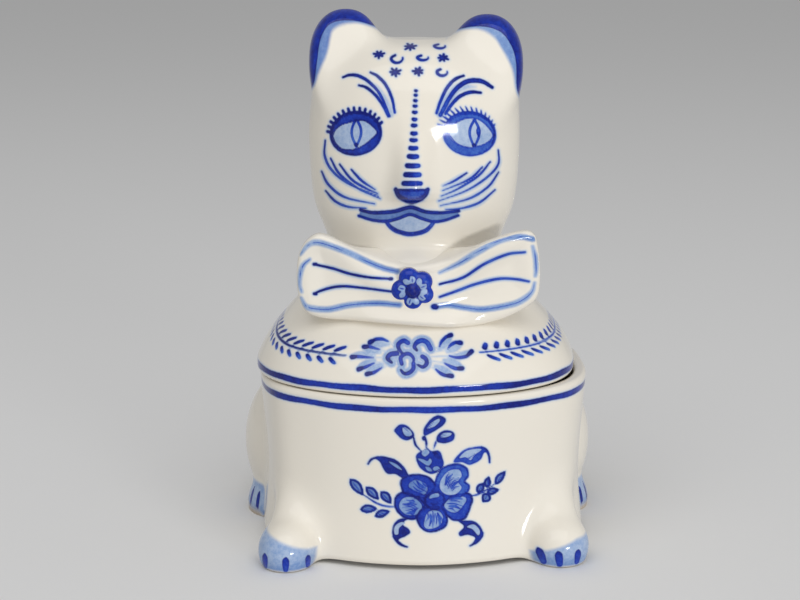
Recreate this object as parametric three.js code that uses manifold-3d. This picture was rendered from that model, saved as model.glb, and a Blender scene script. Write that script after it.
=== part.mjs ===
// A lidded ceramic box in the shape of a sitting cat, after the blue-and-white kind that is slip-cast and
// painted by hand. The lower half is a hollow rounded-square box with paws and haunches. The upper half, from
// the shoulders up, is a loose hollow lid that carries a bow tie with a rosette on its knot.
// Millimetres, +Z up. The cat looks along -Y, and the origin is on the ground under the middle of the object.

import * as THREE from 'three';
import { mergeVertices } from 'three/addons/utils/BufferGeometryUtils.js';
import Module from 'manifold-3d';

const wasm = await Module();
wasm.setup();

// ---- Clearances ----
const restGap = 0.3;            // between two pieces that touch on the real object
const groundMargin = 40;        // how far a cutting block reaches past what it cuts

// ---- Box: the lower half ----
const boxHeight = 55.9;         // ground to the top of the rim
const boxHalfWidth = 53.9;      // at the rim
const boxDepthRatio = 0.96;     // front-to-back size over side-to-side size
const boxBow = { across: 1.8, along: 3 };   // plan (x/a)^across + (y/b)^along = 1: bowed sides, square corners
const boxWall = 4.1;
const boxWaist = 1.9;           // how far the wall draws in, halfway up
const boxWaistHeight = 29;
const apronSpread = 0.4;        // how much narrower the wall's foot is than its rim
const apronLift = 1.4;          // the wall's foot stays this far off the ground, between the paws
const apronWidth = 7;           // the foot ring under the wall
const undersideLift = 2.8;      // the recessed underside inside the foot ring
const floorThickness = 4;
const rimRound = 1.5;
const floorFillet = 7;

// ---- Front paws, hind paws and haunches, as ellipsoids partly sunk in the box ----
const frontPaw = { inset: 10.6, forward: 2, height: 4.3, halfWidth: 9.2, halfDepth: 10, halfHeight: 9 };
const frontLeg = { inset: 13, height: 6, halfWidth: 10.5, halfDepth: 10.5, halfHeight: 15 };
const pawDrift = -2;            // both front legs sit this far to one side: the clay twisted in firing
const hindPaw = { outset: 5.7, reach: 8.8, length: 26, tip: 3, halfHeight: 13.5 };
const haunch = { outset: 6.3, reach: 17, front: -1, rear: 2.7, middle: 22.5, drop: 8.9 };

// ---- Tail: low relief round the back ----
const tailRadius = 4.6;
const tailProud = 2.2;          // how far it stands out of the back wall
const tailStart = { x: -18, z: 35 };
const tailEnd = { x: 30, z: 7.5 };

// ---- Lid: shoulders, neck and head ----
const lidInset = 1.6;           // the lid's lower edge lies this far inside the rim's outer edge
const lidBow = boxBow;
const headBow = { across: 2.1, along: 2.2 };
const lidDepthRatio = 0.96;
const neckDepthRatio = 0.78;
const headDepthRatio = 0.86;
const lidWall = 4.2;
const lidEdgeRound = 1.3;
const shoulderHeight = 35.7;    // lid's edge to the narrowest part of the neck
const neckHalfWidth = 27.4;
const headHeight = 71;          // neck to the top of the head, between the ears
const headHalfWidth = 34.3;
const headShift = 1.2;          // the head's middle lies this far behind the lid's middle

// ---- Locating flange under the lid ----
const flangeClearance = 3.9;    // loose fit inside the box
const flangeWall = 3.2;
const flangeDepth = 4;

// ---- Ears and nose ----
const ear = { spread: 22.8, drop: 6.4, halfWidth: 11.9, halfDepth: 9, halfHeight: 15.8 };
const nose = { offset: -0.7, height: 27.2, halfWidth: 5.8, proud: 8, sunk: 6, halfHeight: 4.6 };
const noseBridge = { offset: -0.5, height: 37, halfWidth: 5, proud: 4.5, sunk: 6, halfHeight: 16 };

// ---- Bow tie ----
const bowOffset = 0.9;          // the knot lies this far to one side of the neck's middle
const bowDrop = 6;              // the middle of the knot lies this far below the narrowest part of the neck
const bowHalfWidth = 38.6;
const bowThickness = 8.6;
const bowStand = 3.4;           // how far the knot's front stands off the shoulder, at the rosette's lower edge
const bowBend = 5.5;            // how far the wing tips bend back
const bowEdge = 1.3;
const knotHalfHeight = 7.6;
const knotHalfWidth = 8;
const knotSink = 2;             // the knot's back is shaped to the neck, over this depth
const leftTip = { top: 17.4, bottom: -8.6 };
const rightTip = { top: 18.4, bottom: -5.6 };

// ---- Rosette ----
const petalCount = 5;
const petalRadius = 3.1;
const petalSpread = 3.9;
const rosetteDepth = 3.6;
const rosetteOffset = { x: -1.1, z: 0.8 };
const buttonRadius = 2.4;

// ---- How the lid happens to sit: turned and pushed to one side, as shares of the play that the flange has ----
const lidPlay = { turn: -0.92, x: -0.53, y: -0.08 };

// ---- Fineness ----
const roundSegments = 48;
const curveDivisions = 4;
const outlineDivisions = 20;
const lobeSegments = 16;

// ---- Derived places ----
const lidBase = boxHeight + restGap;
const neckZ = lidBase + shoulderHeight;
const crownZ = neckZ + headHeight;
const cheekZ = neckZ + headHeight * 0.48;
const boxHalfDepth = boxHalfWidth * boxDepthRatio;
const lidHalfWidth = boxHalfWidth - lidInset;
const flangeHalfWidth = boxHalfWidth - boxWall - flangeClearance;
const lidTurn = lidPlay.turn * flangeClearance / flangeHalfWidth;
const v2 = (x, y) => new THREE.Vector2(x, y);
const { lerp, smoothstep } = THREE.MathUtils;

// ---- Solids ----

function solidOf(geometry) {
  geometry.deleteAttribute('normal');
  geometry.deleteAttribute('uv');
  const merged = mergeVertices(geometry, 1e-4);
  return new wasm.Manifold(new wasm.Mesh({
    numProp: 3,
    vertProperties: new Float32Array(merged.attributes.position.array),
    triVerts: new Uint32Array(merged.index.array),
  }));
}

function geometryOf(solid) {
  const mesh = solid.getMesh();
  const geometry = new THREE.BufferGeometry();
  geometry.setAttribute('position', new THREE.BufferAttribute(mesh.vertProperties, 3));
  geometry.setIndex(new THREE.BufferAttribute(mesh.triVerts, 1));
  geometry.computeVertexNormals();
  return geometry;
}

// A lathe about +Z whose round sections are pushed out to squarish ones. sectionAt(z) gives each section's
// bow, its depth over its width, and how far back its middle lies.
function squareLathe(profile, sectionAt) {
  const lathe = new THREE.LatheGeometry(profile, roundSegments);
  lathe.rotateX(Math.PI / 2);
  const position = lathe.attributes.position;
  for (let i = 0; i < position.count; i += 1) {
    const x = position.getX(i);
    const y = position.getY(i);
    const radius = Math.hypot(x, y);
    const { across, along, depthRatio, back } = sectionAt(position.getZ(i));
    const wide = Math.sign(x) * Math.abs(x / (radius || 1)) ** (2 / across);
    const deep = Math.sign(y) * Math.abs(y / (radius || 1)) ** (2 / along);
    position.setXY(i, wide * radius, deep * radius * depthRatio + back);
  }
  return solidOf(lathe);
}

function ellipsoid(centre, radii) {
  const ball = new THREE.SphereGeometry(1, lobeSegments, lobeSegments / 2);
  ball.rotateX(Math.PI / 2);
  ball.scale(radii.x, radii.y, radii.z);
  ball.translate(centre.x, centre.y, centre.z);
  return solidOf(ball);
}

function block(low, high) {
  const geometry = new THREE.BoxGeometry(high.x - low.x, high.y - low.y, high.z - low.z);
  geometry.translate((low.x + high.x) / 2, (low.y + high.y) / 2, (low.z + high.z) / 2);
  return solidOf(geometry);
}

const at = (x, y, z) => new THREE.Vector3(x, y, z);

// ---- Box body ----

function boxSection() {
  return { ...boxBow, depthRatio: boxDepthRatio, back: 0 };
}

// The wall's half-width at the foot, the waist and the rim, drawn in by inset.
function wallHalfWidths(inset) {
  return {
    foot: boxHalfWidth - apronSpread - inset,
    waist: boxHalfWidth - boxWaist - inset,
    rim: boxHalfWidth - inset,
  };
}

function boxOutside() {
  const wall = wallHalfWidths(0);
  const path = new THREE.Path();
  path.moveTo(0, undersideLift);
  path.lineTo(wall.foot - apronWidth - rimRound, undersideLift);
  path.lineTo(wall.foot - apronWidth, apronLift);
  path.lineTo(wall.foot - rimRound, apronLift);
  path.quadraticCurveTo(wall.foot, apronLift, wall.foot, apronLift + rimRound);
  path.splineThru([v2(wall.waist, boxWaistHeight), v2(wall.rim, boxHeight - rimRound)]);
  path.quadraticCurveTo(wall.rim, boxHeight, wall.rim - rimRound, boxHeight);
  path.lineTo(0, boxHeight);
  return squareLathe(path.getPoints(curveDivisions), boxSection);
}

function boxHollow() {
  const wall = wallHalfWidths(boxWall);
  const floor = undersideLift + floorThickness;
  const path = new THREE.Path();
  path.moveTo(0, floor);
  path.lineTo(wall.foot - floorFillet, floor);
  path.quadraticCurveTo(wall.foot, floor, wall.foot, floor + floorFillet);
  path.splineThru([v2(wall.waist, boxWaistHeight), v2(wall.rim, boxHeight - rimRound)]);
  path.lineTo(wall.rim + rimRound / 2, boxHeight + restGap);
  path.lineTo(0, boxHeight + restGap);
  return squareLathe(path.getPoints(curveDivisions), boxSection);
}

function frontPawSolid(side) {
  const x = pawDrift + side * (boxHalfWidth - frontPaw.inset);
  const y = frontPaw.inset - frontPaw.forward - boxHalfDepth;
  const centre = at(x, y, frontPaw.height);
  return ellipsoid(centre, at(frontPaw.halfWidth, frontPaw.halfDepth, frontPaw.halfHeight));
}

// A swelling of the corner that leads from the paw up into the wall.
function frontLegSolid(side) {
  const x = pawDrift + side * (boxHalfWidth - frontLeg.inset);
  const centre = at(x, frontLeg.inset - boxHalfDepth, frontLeg.height);
  return ellipsoid(centre, at(frontLeg.halfWidth, frontLeg.halfDepth, frontLeg.halfHeight));
}

function hindPawSolid(side) {
  const outer = boxHalfWidth + hindPaw.outset;
  const centre = at(side * (outer - hindPaw.reach), hindPaw.tip + hindPaw.length / 2, 0);
  return ellipsoid(centre, at(hindPaw.reach, hindPaw.length / 2, hindPaw.halfHeight));
}

function haunchSolid(side) {
  const outer = boxHalfWidth + haunch.outset;
  const back = boxHalfDepth - haunch.rear;
  const centre = at(side * (outer - haunch.reach), (haunch.front + back) / 2, haunch.middle);
  const halfHeight = boxHeight - haunch.drop - haunch.middle;
  return ellipsoid(centre, at(haunch.reach, (back - haunch.front) / 2, halfHeight));
}

// The tail starts low on the back and sweeps down and round to one side, half sunk in the wall.
function tailSolid() {
  const sink = tailRadius - tailProud;
  const route = [0, 0.25, 0.5, 0.75, 1].map((along) => {
    const x = lerp(tailStart.x, tailEnd.x, along);
    const z = lerp(tailStart.z, tailEnd.z, smoothstep(along, -0.2, 0.8));
    const bow = (1 - (Math.abs(x) / boxHalfWidth) ** boxBow.across) ** (1 / boxBow.along);
    return at(x, boxHalfDepth * bow - sink - boxWaist / 2, z);
  });
  const section = new THREE.Shape();
  section.absarc(0, 0, tailRadius, 0, 2 * Math.PI);
  const tube = new THREE.ExtrudeGeometry(section, {
    steps: 14, curveSegments: 6, bevelEnabled: false, extrudePath: new THREE.CatmullRomCurve3(route),
  });
  const tip = ellipsoid(route[route.length - 1], at(tailRadius, tailRadius, tailRadius));
  const root = ellipsoid(route[0], at(tailRadius, tailRadius, tailRadius));
  return solidOf(tube).add(tip).add(root);
}

function boxBody() {
  const low = at(-boxHalfWidth - groundMargin, -boxHalfWidth - groundMargin, -groundMargin);
  const high = at(boxHalfWidth + groundMargin, boxHalfWidth + groundMargin, 0);
  let solid = boxOutside().add(tailSolid());
  for (const side of [-1, 1]) {
    solid = solid.add(frontPawSolid(side)).add(frontLegSolid(side));
    solid = solid.add(hindPawSolid(side)).add(haunchSolid(side));
  }
  return geometryOf(solid.subtract(block(low, high)).subtract(boxHollow()));
}

// ---- Lid ----

// Squarish at the lower edge, then rounder and shallower up to the neck and head.
function lidSection(z) {
  const up = smoothstep(z, lidBase + shoulderHeight * 0.2, neckZ);
  const head = smoothstep(z, neckZ, cheekZ);
  return {
    across: lerp(lidBow.across, headBow.across, up),
    along: lerp(lidBow.along, headBow.along, up),
    depthRatio: lerp(lerp(lidDepthRatio, neckDepthRatio, up), headDepthRatio, head),
    back: headShift * up,
  };
}

// The outer outline from just above the lower edge to the crown, as half-widths against height.
function lidOutline() {
  const dome = (share, up) => v2(lerp(neckHalfWidth, lidHalfWidth, share), lidBase + shoulderHeight * up);
  const skull = (share, up) => v2(headHalfWidth * share, neckZ + headHeight * up);
  const shoulders = [dome(1, 0.07), dome(0.985, 0.12), dome(0.86, 0.27), dome(0.64, 0.46), dome(0.36, 0.68),
    dome(0.08, 0.9)];
  const head = [skull(0.83, 0.08), skull(0.955, 0.26), skull(1, 0.48), skull(0.985, 0.68), skull(0.86, 0.84),
    skull(0.6, 0.955), skull(0.28, 0.995)];
  return new THREE.SplineCurve([...shoulders, ...head]).getPoints(outlineDivisions);
}

// The lid's foremost point at a height between its edge and its crown.
function lidFrontAt(z) {
  const points = lidOutline();
  const after = points.findIndex((point) => point.y >= z);
  const before = points[after - 1];
  const share = (z - before.y) / (points[after].y - before.y);
  const { depthRatio, back } = lidSection(z);
  return back - lerp(before.x, points[after].x, share) * depthRatio;
}

// The outline moved outwards by distance, or inwards where distance is negative, and closed on the axis.
function shiftedOutline(distance) {
  const points = lidOutline();
  const shifted = points.map((point, i) => {
    const before = points[Math.max(i - 1, 0)];
    const after = points[Math.min(i + 1, points.length - 1)];
    const along = after.clone().sub(before).normalize();
    return v2(point.x + along.y * distance, point.y - along.x * distance);
  });
  return [...shifted, v2(0, crownZ + distance)];
}

function lidOutside(distance) {
  const low = lidBase - distance;
  const edge = lidHalfWidth + distance;
  const path = new THREE.Path();
  path.moveTo(0, low);
  path.lineTo(edge - lidEdgeRound, low);
  path.quadraticCurveTo(edge, low, edge, low + lidEdgeRound);
  return squareLathe([...path.getPoints(curveDivisions), ...shiftedOutline(distance)], lidSection);
}

function lidFlange() {
  const low = lidBase - flangeDepth;
  const high = lidBase + lidWall / 2;
  return squareLathe([v2(0, low), v2(flangeHalfWidth, low), v2(flangeHalfWidth, high), v2(0, high)], lidSection);
}

function lidHollow() {
  const inner = flangeHalfWidth - flangeWall;
  const low = lidBase - flangeDepth - restGap;
  const outline = shiftedOutline(-lidWall).filter((point) => point.y > lidBase + lidWall);
  return squareLathe([v2(0, low), v2(inner, low), v2(inner, lidBase + lidWall / 2), ...outline], lidSection);
}

function earSolid(side) {
  const centre = at(side * ear.spread, headShift, crownZ - ear.drop);
  return ellipsoid(centre, at(ear.halfWidth, ear.halfDepth, ear.halfHeight));
}

// A lobe near the face's middle line, standing proud of the face and sunk into the wall behind it.
function faceLobe(lobe) {
  const z = neckZ + lobe.height;
  const face = headShift - headHalfWidth * headDepthRatio;
  const halfDepth = (lobe.proud + lobe.sunk) / 2;
  return ellipsoid(at(lobe.offset, face - lobe.proud + halfDepth, z), at(lobe.halfWidth, halfDepth, lobe.halfHeight));
}

function lid() {
  const solid = lidOutside(0).add(lidFlange()).add(earSolid(-1)).add(earSolid(1));
  return geometryOf(solid.add(faceLobe(nose)).add(faceLobe(noseBridge)).subtract(lidHollow()));
}

// ---- Bow tie and rosette ----

const knotZ = neckZ - bowDrop;
const rosetteLow = knotZ + rosetteOffset.z - petalSpread - petalRadius;
const neckFront = lidFrontAt(neckZ);
const knotFront = lidFrontAt(rosetteLow) - bowStand;

function bowOutline() {
  const w = bowHalfWidth;
  const h = knotHalfHeight;
  const shape = new THREE.Shape();
  shape.moveTo(0, -h - 1.4);
  shape.bezierCurveTo(w * 0.35, -h - 1.4, w * 0.65, -h - 1.2, w * 0.9, rightTip.bottom - 0.5);
  shape.quadraticCurveTo(w, rightTip.bottom + 0.5, w, rightTip.bottom + 5);
  shape.lineTo(w * 0.96, rightTip.top - 4);
  shape.quadraticCurveTo(w * 0.94, rightTip.top, w * 0.85, rightTip.top);
  shape.bezierCurveTo(w * 0.6, rightTip.top - 4, w * 0.4, h, 0, h);
  shape.bezierCurveTo(-w * 0.35, h, -w * 0.5, leftTip.top - 3, -w * 0.78, leftTip.top);
  shape.quadraticCurveTo(-w, leftTip.top, -w, 1);
  shape.quadraticCurveTo(-w, leftTip.bottom, -w * 0.8, leftTip.bottom);
  shape.bezierCurveTo(-w * 0.6, -h - 1.6, -w * 0.3, -h - 1.4, 0, -h - 1.4);
  return shape;
}

function bowTie() {
  const slab = new THREE.ExtrudeGeometry(bowOutline(), {
    depth: bowThickness - 2 * bowEdge, steps: 1, curveSegments: 8,
    bevelThickness: bowEdge, bevelSize: bowEdge, bevelOffset: -bowEdge, bevelSegments: 2,
  });
  slab.rotateX(Math.PI / 2);
  slab.translate(bowOffset, knotFront + bowThickness - bowEdge, knotZ);
  const position = slab.attributes.position;
  for (let i = 0; i < position.count; i += 1) {
    const out = (position.getX(i) - bowOffset) / bowHalfWidth;
    position.setY(i, position.getY(i) + bowBend * out * out);
  }
  const low = at(bowOffset - knotHalfWidth, knotFront + bowThickness / 2, knotZ - knotHalfHeight);
  const high = at(bowOffset + knotHalfWidth, neckFront + knotSink, knotZ + knotHalfHeight - bowEdge);
  return geometryOf(solidOf(slab).add(block(low, high)).subtract(lidOutside(restGap)));
}

function rosette() {
  const back = knotFront - restGap;
  const centre = at(bowOffset + rosetteOffset.x, back, knotZ + rosetteOffset.z);
  let solid = ellipsoid(centre, at(buttonRadius, rosetteDepth + 0.8, buttonRadius));
  for (let i = 0; i < petalCount; i += 1) {
    const angle = (i / petalCount) * 2 * Math.PI + Math.PI / 2;
    const petal = centre.clone().add(at(petalSpread * Math.cos(angle), 0, petalSpread * Math.sin(angle)));
    solid = solid.add(ellipsoid(petal, at(petalRadius, rosetteDepth, petalRadius)));
  }
  const reach = petalSpread + petalRadius + 1;
  const behind = block(centre.clone().add(at(-reach, 0, -reach)), centre.clone().add(at(reach, reach, reach)));
  return geometryOf(solid.subtract(behind));
}

// ---- Materials and assembly ----

const glaze = new THREE.MeshStandardMaterial({ color: '#eee8dc', roughness: 0.12, metalness: 0 });
const bowGlaze = new THREE.MeshStandardMaterial({ color: '#ece7dd', roughness: 0.12, metalness: 0 });
const blueGlaze = new THREE.MeshStandardMaterial({ color: '#1c2f9c', roughness: 0.12, metalness: 0 });

function named(name, geometry, material) {
  const mesh = new THREE.Mesh(geometry, material);
  mesh.name = name;
  return mesh;
}

const cat = new THREE.Group();
cat.add(named('box_body', boxBody(), glaze));

const lidGroup = new THREE.Group();
lidGroup.position.set(lidPlay.x * flangeClearance, lidPlay.y * flangeClearance, 0);
lidGroup.rotation.z = lidTurn;
lidGroup.add(named('lid', lid(), glaze));
lidGroup.add(named('bow_tie', bowTie(), bowGlaze));
lidGroup.add(named('bow_rosette', rosette(), blueGlaze));
cat.add(lidGroup);

// The origin goes under the middle of the whole object.
const extent = new THREE.Box3().setFromObject(cat, true);
cat.position.set(-(extent.min.x + extent.max.x) / 2, -(extent.min.y + extent.max.y) / 2, 0);

export default cat;
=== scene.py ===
# The looks of a lidded ceramic cat box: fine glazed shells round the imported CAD, with the cobalt blue
# painting laid on them brush stroke by brush stroke. Lengths are in millimetres, and become metres where the
# meshes are made. Strokes are laid out on a front view from slightly above, as a painter sees the cat.

import math

import bpy
import numpy as np
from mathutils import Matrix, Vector


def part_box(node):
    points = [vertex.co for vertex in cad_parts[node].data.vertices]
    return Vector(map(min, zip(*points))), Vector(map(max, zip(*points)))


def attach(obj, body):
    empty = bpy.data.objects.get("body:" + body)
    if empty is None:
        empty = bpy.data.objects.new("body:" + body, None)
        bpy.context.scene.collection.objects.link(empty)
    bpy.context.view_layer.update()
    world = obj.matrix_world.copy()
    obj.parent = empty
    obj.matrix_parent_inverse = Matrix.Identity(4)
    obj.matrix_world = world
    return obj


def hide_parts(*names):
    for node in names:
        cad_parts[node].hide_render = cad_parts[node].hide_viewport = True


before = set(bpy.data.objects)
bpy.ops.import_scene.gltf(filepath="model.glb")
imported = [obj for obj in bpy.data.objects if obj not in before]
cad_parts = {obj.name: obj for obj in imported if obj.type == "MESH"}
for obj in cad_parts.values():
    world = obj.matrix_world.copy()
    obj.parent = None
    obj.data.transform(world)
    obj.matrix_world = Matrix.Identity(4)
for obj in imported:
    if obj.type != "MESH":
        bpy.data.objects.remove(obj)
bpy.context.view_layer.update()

MM = 0.001

# ---- Places taken from the frame ----
LID_LOW, LID_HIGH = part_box("lid")
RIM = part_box("box_body")[1].z / MM         # top of the box's rim
LID_X = (LID_LOW.x + LID_HIGH.x) / 2 / MM
LID_Y = (LID_LOW.y + LID_HIGH.y) / 2 / MM
LID_TURN = math.radians(-4.48)             # the lid sits turned on the box

# ---- Box ----
BOX_HALF_WIDTH = 53.9
BOX_DEPTH_RATIO = 0.96
BOX_BOW = (1.8, 3.0)                       # plan (x/a)^1.8 + (y/b)^3 = 1
BOX_CENTRE_Y = 0.1
BOX_WALL = 4.1
WAIST = 1.9                                # how much narrower the box is at its waist
WAIST_HEIGHT = 24.0
APRON_SPREAD = 0.4                         # how much narrower it is at its foot
APRON_LIFT = 1.4                           # the wall ends this far above the ground, between the paws
FOOT_ROUND = 1.5
FOOT_RING = 7.0                            # width of the bare ring round the recess
RECESS = 2.8
FLOOR = 6.8                                # top of the floor inside
RIM_ROUND = 1.2
FLOOR_FILLET = 7.0
CORE = (38.0, 33.0)                        # half-sizes of the rectangle that the box's surface is found from

# ---- Lid ----
FLANGE_DEPTH = 4.0
LID_EDGE = LID_LOW.z / MM + FLANGE_DEPTH   # the lid's lower edge
LID_HALF_WIDTH = 52.3
LID_DEPTH_RATIO = 0.96
NECK_DEPTH_RATIO = 0.78
HEAD_DEPTH_RATIO = 0.86
HEAD_BOW = (2.1, 2.2)
SHOULDER_HEIGHT = 35.7
NECK = LID_EDGE + SHOULDER_HEIGHT
NECK_HALF_WIDTH = 27.4
HEAD_HEIGHT = 71.0
CROWN = NECK + HEAD_HEIGHT
HEAD_HALF_WIDTH = 34.3
HEAD_BACK = 1.2                            # how far behind the shoulders' middle the head's is
HEAD_LEAN = -0.6                           # and how far to the side
LID_WALL = 4.2
LID_EDGE_ROUND = 1.3
FLANGE_HALF_WIDTH = 45.9
FLANGE_WALL = 3.2
LOOK_OUT = 135.0                           # above this height the head's surface is found from one point

# ---- How fine the meshes are ----
ROW_STEP = 0.42                            # between rows up the walls
FOOT_ROW_STEP = 0.3                        # and round the paws, between the two heights
FOOT_ROWS_LOW, FOOT_ROWS_TOP = 3.0, 17.0
BOX_COLUMNS = ((200, 54), (80, 34), (70, 34), (80, 54))    # along each side of the core, and round its end
LID_COLUMNS = 500
CROWN_STEP = 0.75                          # in degrees, over the crown
HOLLOW_ROW_STEP = 2.4                      # the same two steps for the lid's hollow
HOLLOW_CROWN_STEP = 5
BOW_COLUMNS = 200
BOW_ROWS = 76
ROSETTE_COLUMNS = 200


# ---- Number helpers ----

def ease(low, high, x):
    """Goes smoothly from 0 at low to 1 at high."""
    t = np.clip((x - low) / (high - low), 0, 1)
    return t * t * (3 - 2 * t)


def mix(a, b, t):
    return a + (b - a) * t


def union(a, b, blend):
    """The smooth union of two distances, with a fillet about as wide as blend."""
    h = np.maximum(blend - np.abs(a - b), 0) / blend
    return np.minimum(a, b) - h * h * h * blend / 6


def split(points):
    return points[..., 0], points[..., 1], points[..., 2]


def ball(p, centre, radii):
    """About the distance from p to an ellipsoid."""
    q = [(p[i] - centre[i]) / radii[i] for i in range(3)]
    near = np.sqrt(q[0] ** 2 + q[1] ** 2 + q[2] ** 2) + 1e-9
    slope = np.sqrt(sum((q[i] / radii[i]) ** 2 for i in range(3))) + 1e-9
    return near * (near - 1) / slope


def spline(points, count):
    """A smooth curve through the points, as count points."""
    p = np.array(points, float)
    t = np.linspace(0, len(p) - 1, count)[:, None]
    if len(p) < 3:
        return p[0] + (p[-1] - p[0]) * t
    ends = np.vstack([2 * p[0] - p[1], p, 2 * p[-1] - p[-2]])
    i = np.minimum(t[:, 0].astype(int), len(p) - 2)
    t = t - i[:, None]
    a, b, c, d = (ends[i + k] for k in range(4))
    bend = (2 * a - 5 * b + 4 * c - d) * t + (3 * b - a - 3 * c + d) * t * t
    return b + 0.5 * t * ((c - a) + bend)


def closed_spline(points, per_step):
    """A smooth closed curve through the points."""
    p = np.array(points, float)
    wrapped = np.vstack([p[-1:], p, p[:2]])
    return spline(wrapped, (len(wrapped) - 1) * per_step + 1)[per_step:-per_step - 1]


def oval(x, z, wide, high, degrees=range(0, 360, 30)):
    """Points round an oval, at those angles."""
    return [(x + wide * math.cos(a), z + high * math.sin(a)) for a in np.radians(degrees)]


def rounding(across, z, over, up, degrees):
    """Points round a corner that is over wide and up high, from upright at 0 degrees to level at 90."""
    return [(across + over * (1 - math.cos(a)), z + up * (1 - math.sin(a))) for a in np.radians(degrees)]


def plan_solution(c, s, k, bow, rounds):
    """The k at which (c/k)^bow[0] + (s/k)^bow[1] is 1, from a first guess."""
    for _ in range(rounds):
        m, n = (c / k) ** bow[0], (s / k) ** bow[1]
        k = k + (m + n - 1) * k / (bow[0] * m + bow[1] * n)
    return k


def reach(azimuth, bow, depth_ratio):
    """How far a plan curve of half-width 1 lies from its middle, at each azimuth."""
    c = np.abs(np.cos(azimuth)) + 1e-9
    s = np.abs(np.sin(azimuth)) / depth_ratio + 1e-9
    return 1 / plan_solution(c, s, np.hypot(c, s), bow, 12)


def plan_size(x, y, bow, depth_ratio):
    """The half-width of the plan curve that passes through each point."""
    c = np.abs(x) + 1e-6
    s = np.abs(y) / depth_ratio + 1e-6
    return plan_solution(c, s, np.maximum(c, s) * 1.12, bow, 5)


def to_segment(u, v, a, b):
    """How far each point lies from the segment from a to b, and the share along it of the nearest place."""
    du, dv = b[0] - a[0], b[1] - a[1]
    along = np.clip(((u - a[0]) * du + (v - a[1]) * dv) / (du * du + dv * dv + 1e-12), 0, 1)
    return np.hypot(u - a[0] - along * du, v - a[1] - along * dv), along


def outline_distance(u, v, starts, ends):
    """Distance to an outline, less than nought inside, from where its edges start and end."""
    nearest = np.full(u.shape, 1e9)
    inside = np.zeros(u.shape, bool)
    for a, b in zip(starts, ends):
        nearest = np.minimum(nearest, to_segment(u, v, a, b)[0])
        if a[1] != b[1]:
            crosses = (a[1] > v) != (b[1] > v)
            inside ^= crosses & (u < a[0] + (v - a[1]) * (b[0] - a[0]) / (b[1] - a[1]))
    return np.where(inside, -nearest, nearest)


class Outline:
    """Signed distances to a lathe's outline, from axis to axis, over half-width and height."""

    STEP = 0.4

    def __init__(self, points, low, high, widest):
        self.low = low
        grid = np.meshgrid(np.arange(0, widest, self.STEP), np.arange(low, high, self.STEP), indexing="ij")
        p = np.array(points, float)
        self.field = outline_distance(*grid, p[:-1], p[1:])

    def __call__(self, size, z):
        u = np.clip(size / self.STEP, 0, self.field.shape[0] - 1.001)
        v = np.clip((z - self.low) / self.STEP, 0, self.field.shape[1] - 1.001)
        i, j = u.astype(int), v.astype(int)
        f = self.field
        low = mix(f[i, j], f[i + 1, j], u - i)
        high = mix(f[i, j + 1], f[i + 1, j + 1], u - i)
        return mix(low, high, v - j)


def first_hit(distance, origin, direction, far, steps=28):
    """Where rays leave the shape: marches out to the first positive distance, then halves the step."""
    low = np.zeros(origin.shape[:-1])
    high = np.full(low.shape, float(far))
    found = np.zeros(low.shape, bool)
    for k in range(1, steps + 1):
        t = far / steps * k
        outside = distance(origin + direction * t) > 0
        high[outside & ~found] = t
        found |= outside
        low[~found] = t
    for _ in range(12):
        t = (low + high) / 2
        outside = distance(origin + direction * t[..., None]) > 0
        high = np.where(outside, t, high)
        low = np.where(outside, low, t)
    return origin + direction * ((low + high) / 2)[..., None]


# ---- Meshes ----

def strip(left, right):
    """The four corners of each cell between neighbouring columns, row by row."""
    return np.stack([left[:-1], left[1:], right[1:], right[:-1]], 2)


def uv_grid(rows, columns, low, high):
    """UV places with v over the rows, from low to high, and u over the columns."""
    v, u = np.meshgrid(np.linspace(low, high, rows), np.linspace(0, 1, columns), indexing="ij")
    return np.stack([u, v], -1)


def closed_shell(name, rings, start, end):
    """One closed mesh from rings of points, with a single point at each end. UV follows the rings."""
    count, across = rings.shape[:2]
    vertices = np.vstack([start, rings.reshape(-1, 3), end])
    left = 1 + np.arange(count * across).reshape(count, across)
    right = np.roll(left, -1, axis=1)
    first, last = np.zeros(across, int), np.full(across, len(vertices) - 1)
    start_cap = np.stack([first, left[0], right[0]], 1)
    end_cap = np.stack([last, right[-1], left[-1]], 1)
    places = uv_grid(count, across + 1, 1 / (count + 1), count / (count + 1))
    a, b = places[:, :-1], places[:, 1:]
    middle = (a[0] + b[0]) / 2 * (1, 0)
    start_uv = np.stack([middle, a[0], b[0]], 1)
    end_uv = np.stack([middle + (0, 1), b[-1], a[-1]], 1)
    uv = [strip(a, b), start_uv, end_uv]
    return fill_mesh(name, vertices, [strip(left, right), start_cap, end_cap], uv)


def fill_mesh(name, vertices, faces, uv):
    """A smooth mesh from arrays of faces, whose last axis runs round the face, and the same for UV."""
    sizes = np.concatenate([np.full(part.size // part.shape[-1], part.shape[-1]) for part in faces])
    loops = np.concatenate([part.ravel() for part in faces])
    mesh = bpy.data.meshes.new(name)
    mesh.vertices.add(len(vertices))
    mesh.vertices.foreach_set("co", (vertices * MM).astype(np.float32).ravel())
    mesh.loops.add(len(loops))
    mesh.loops.foreach_set("vertex_index", loops.astype(np.int32))
    mesh.polygons.add(len(sizes))
    starts = np.concatenate([[0], np.cumsum(sizes)[:-1]])
    mesh.polygons.foreach_set("loop_start", starts.astype(np.int32))
    mesh.update(calc_edges=True)
    places = np.concatenate([part.ravel() for part in uv])
    mesh.uv_layers.new(name="OFBake").data.foreach_set("uv", places.astype(np.float32))
    mesh.polygons.foreach_set("use_smooth", np.ones(len(sizes), bool))
    mesh.validate()
    return show(name, mesh)


def show(name, data):
    """A new object in the scene."""
    item = bpy.data.objects.new(name, data)
    bpy.context.scene.collection.objects.link(item)
    return item


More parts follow.
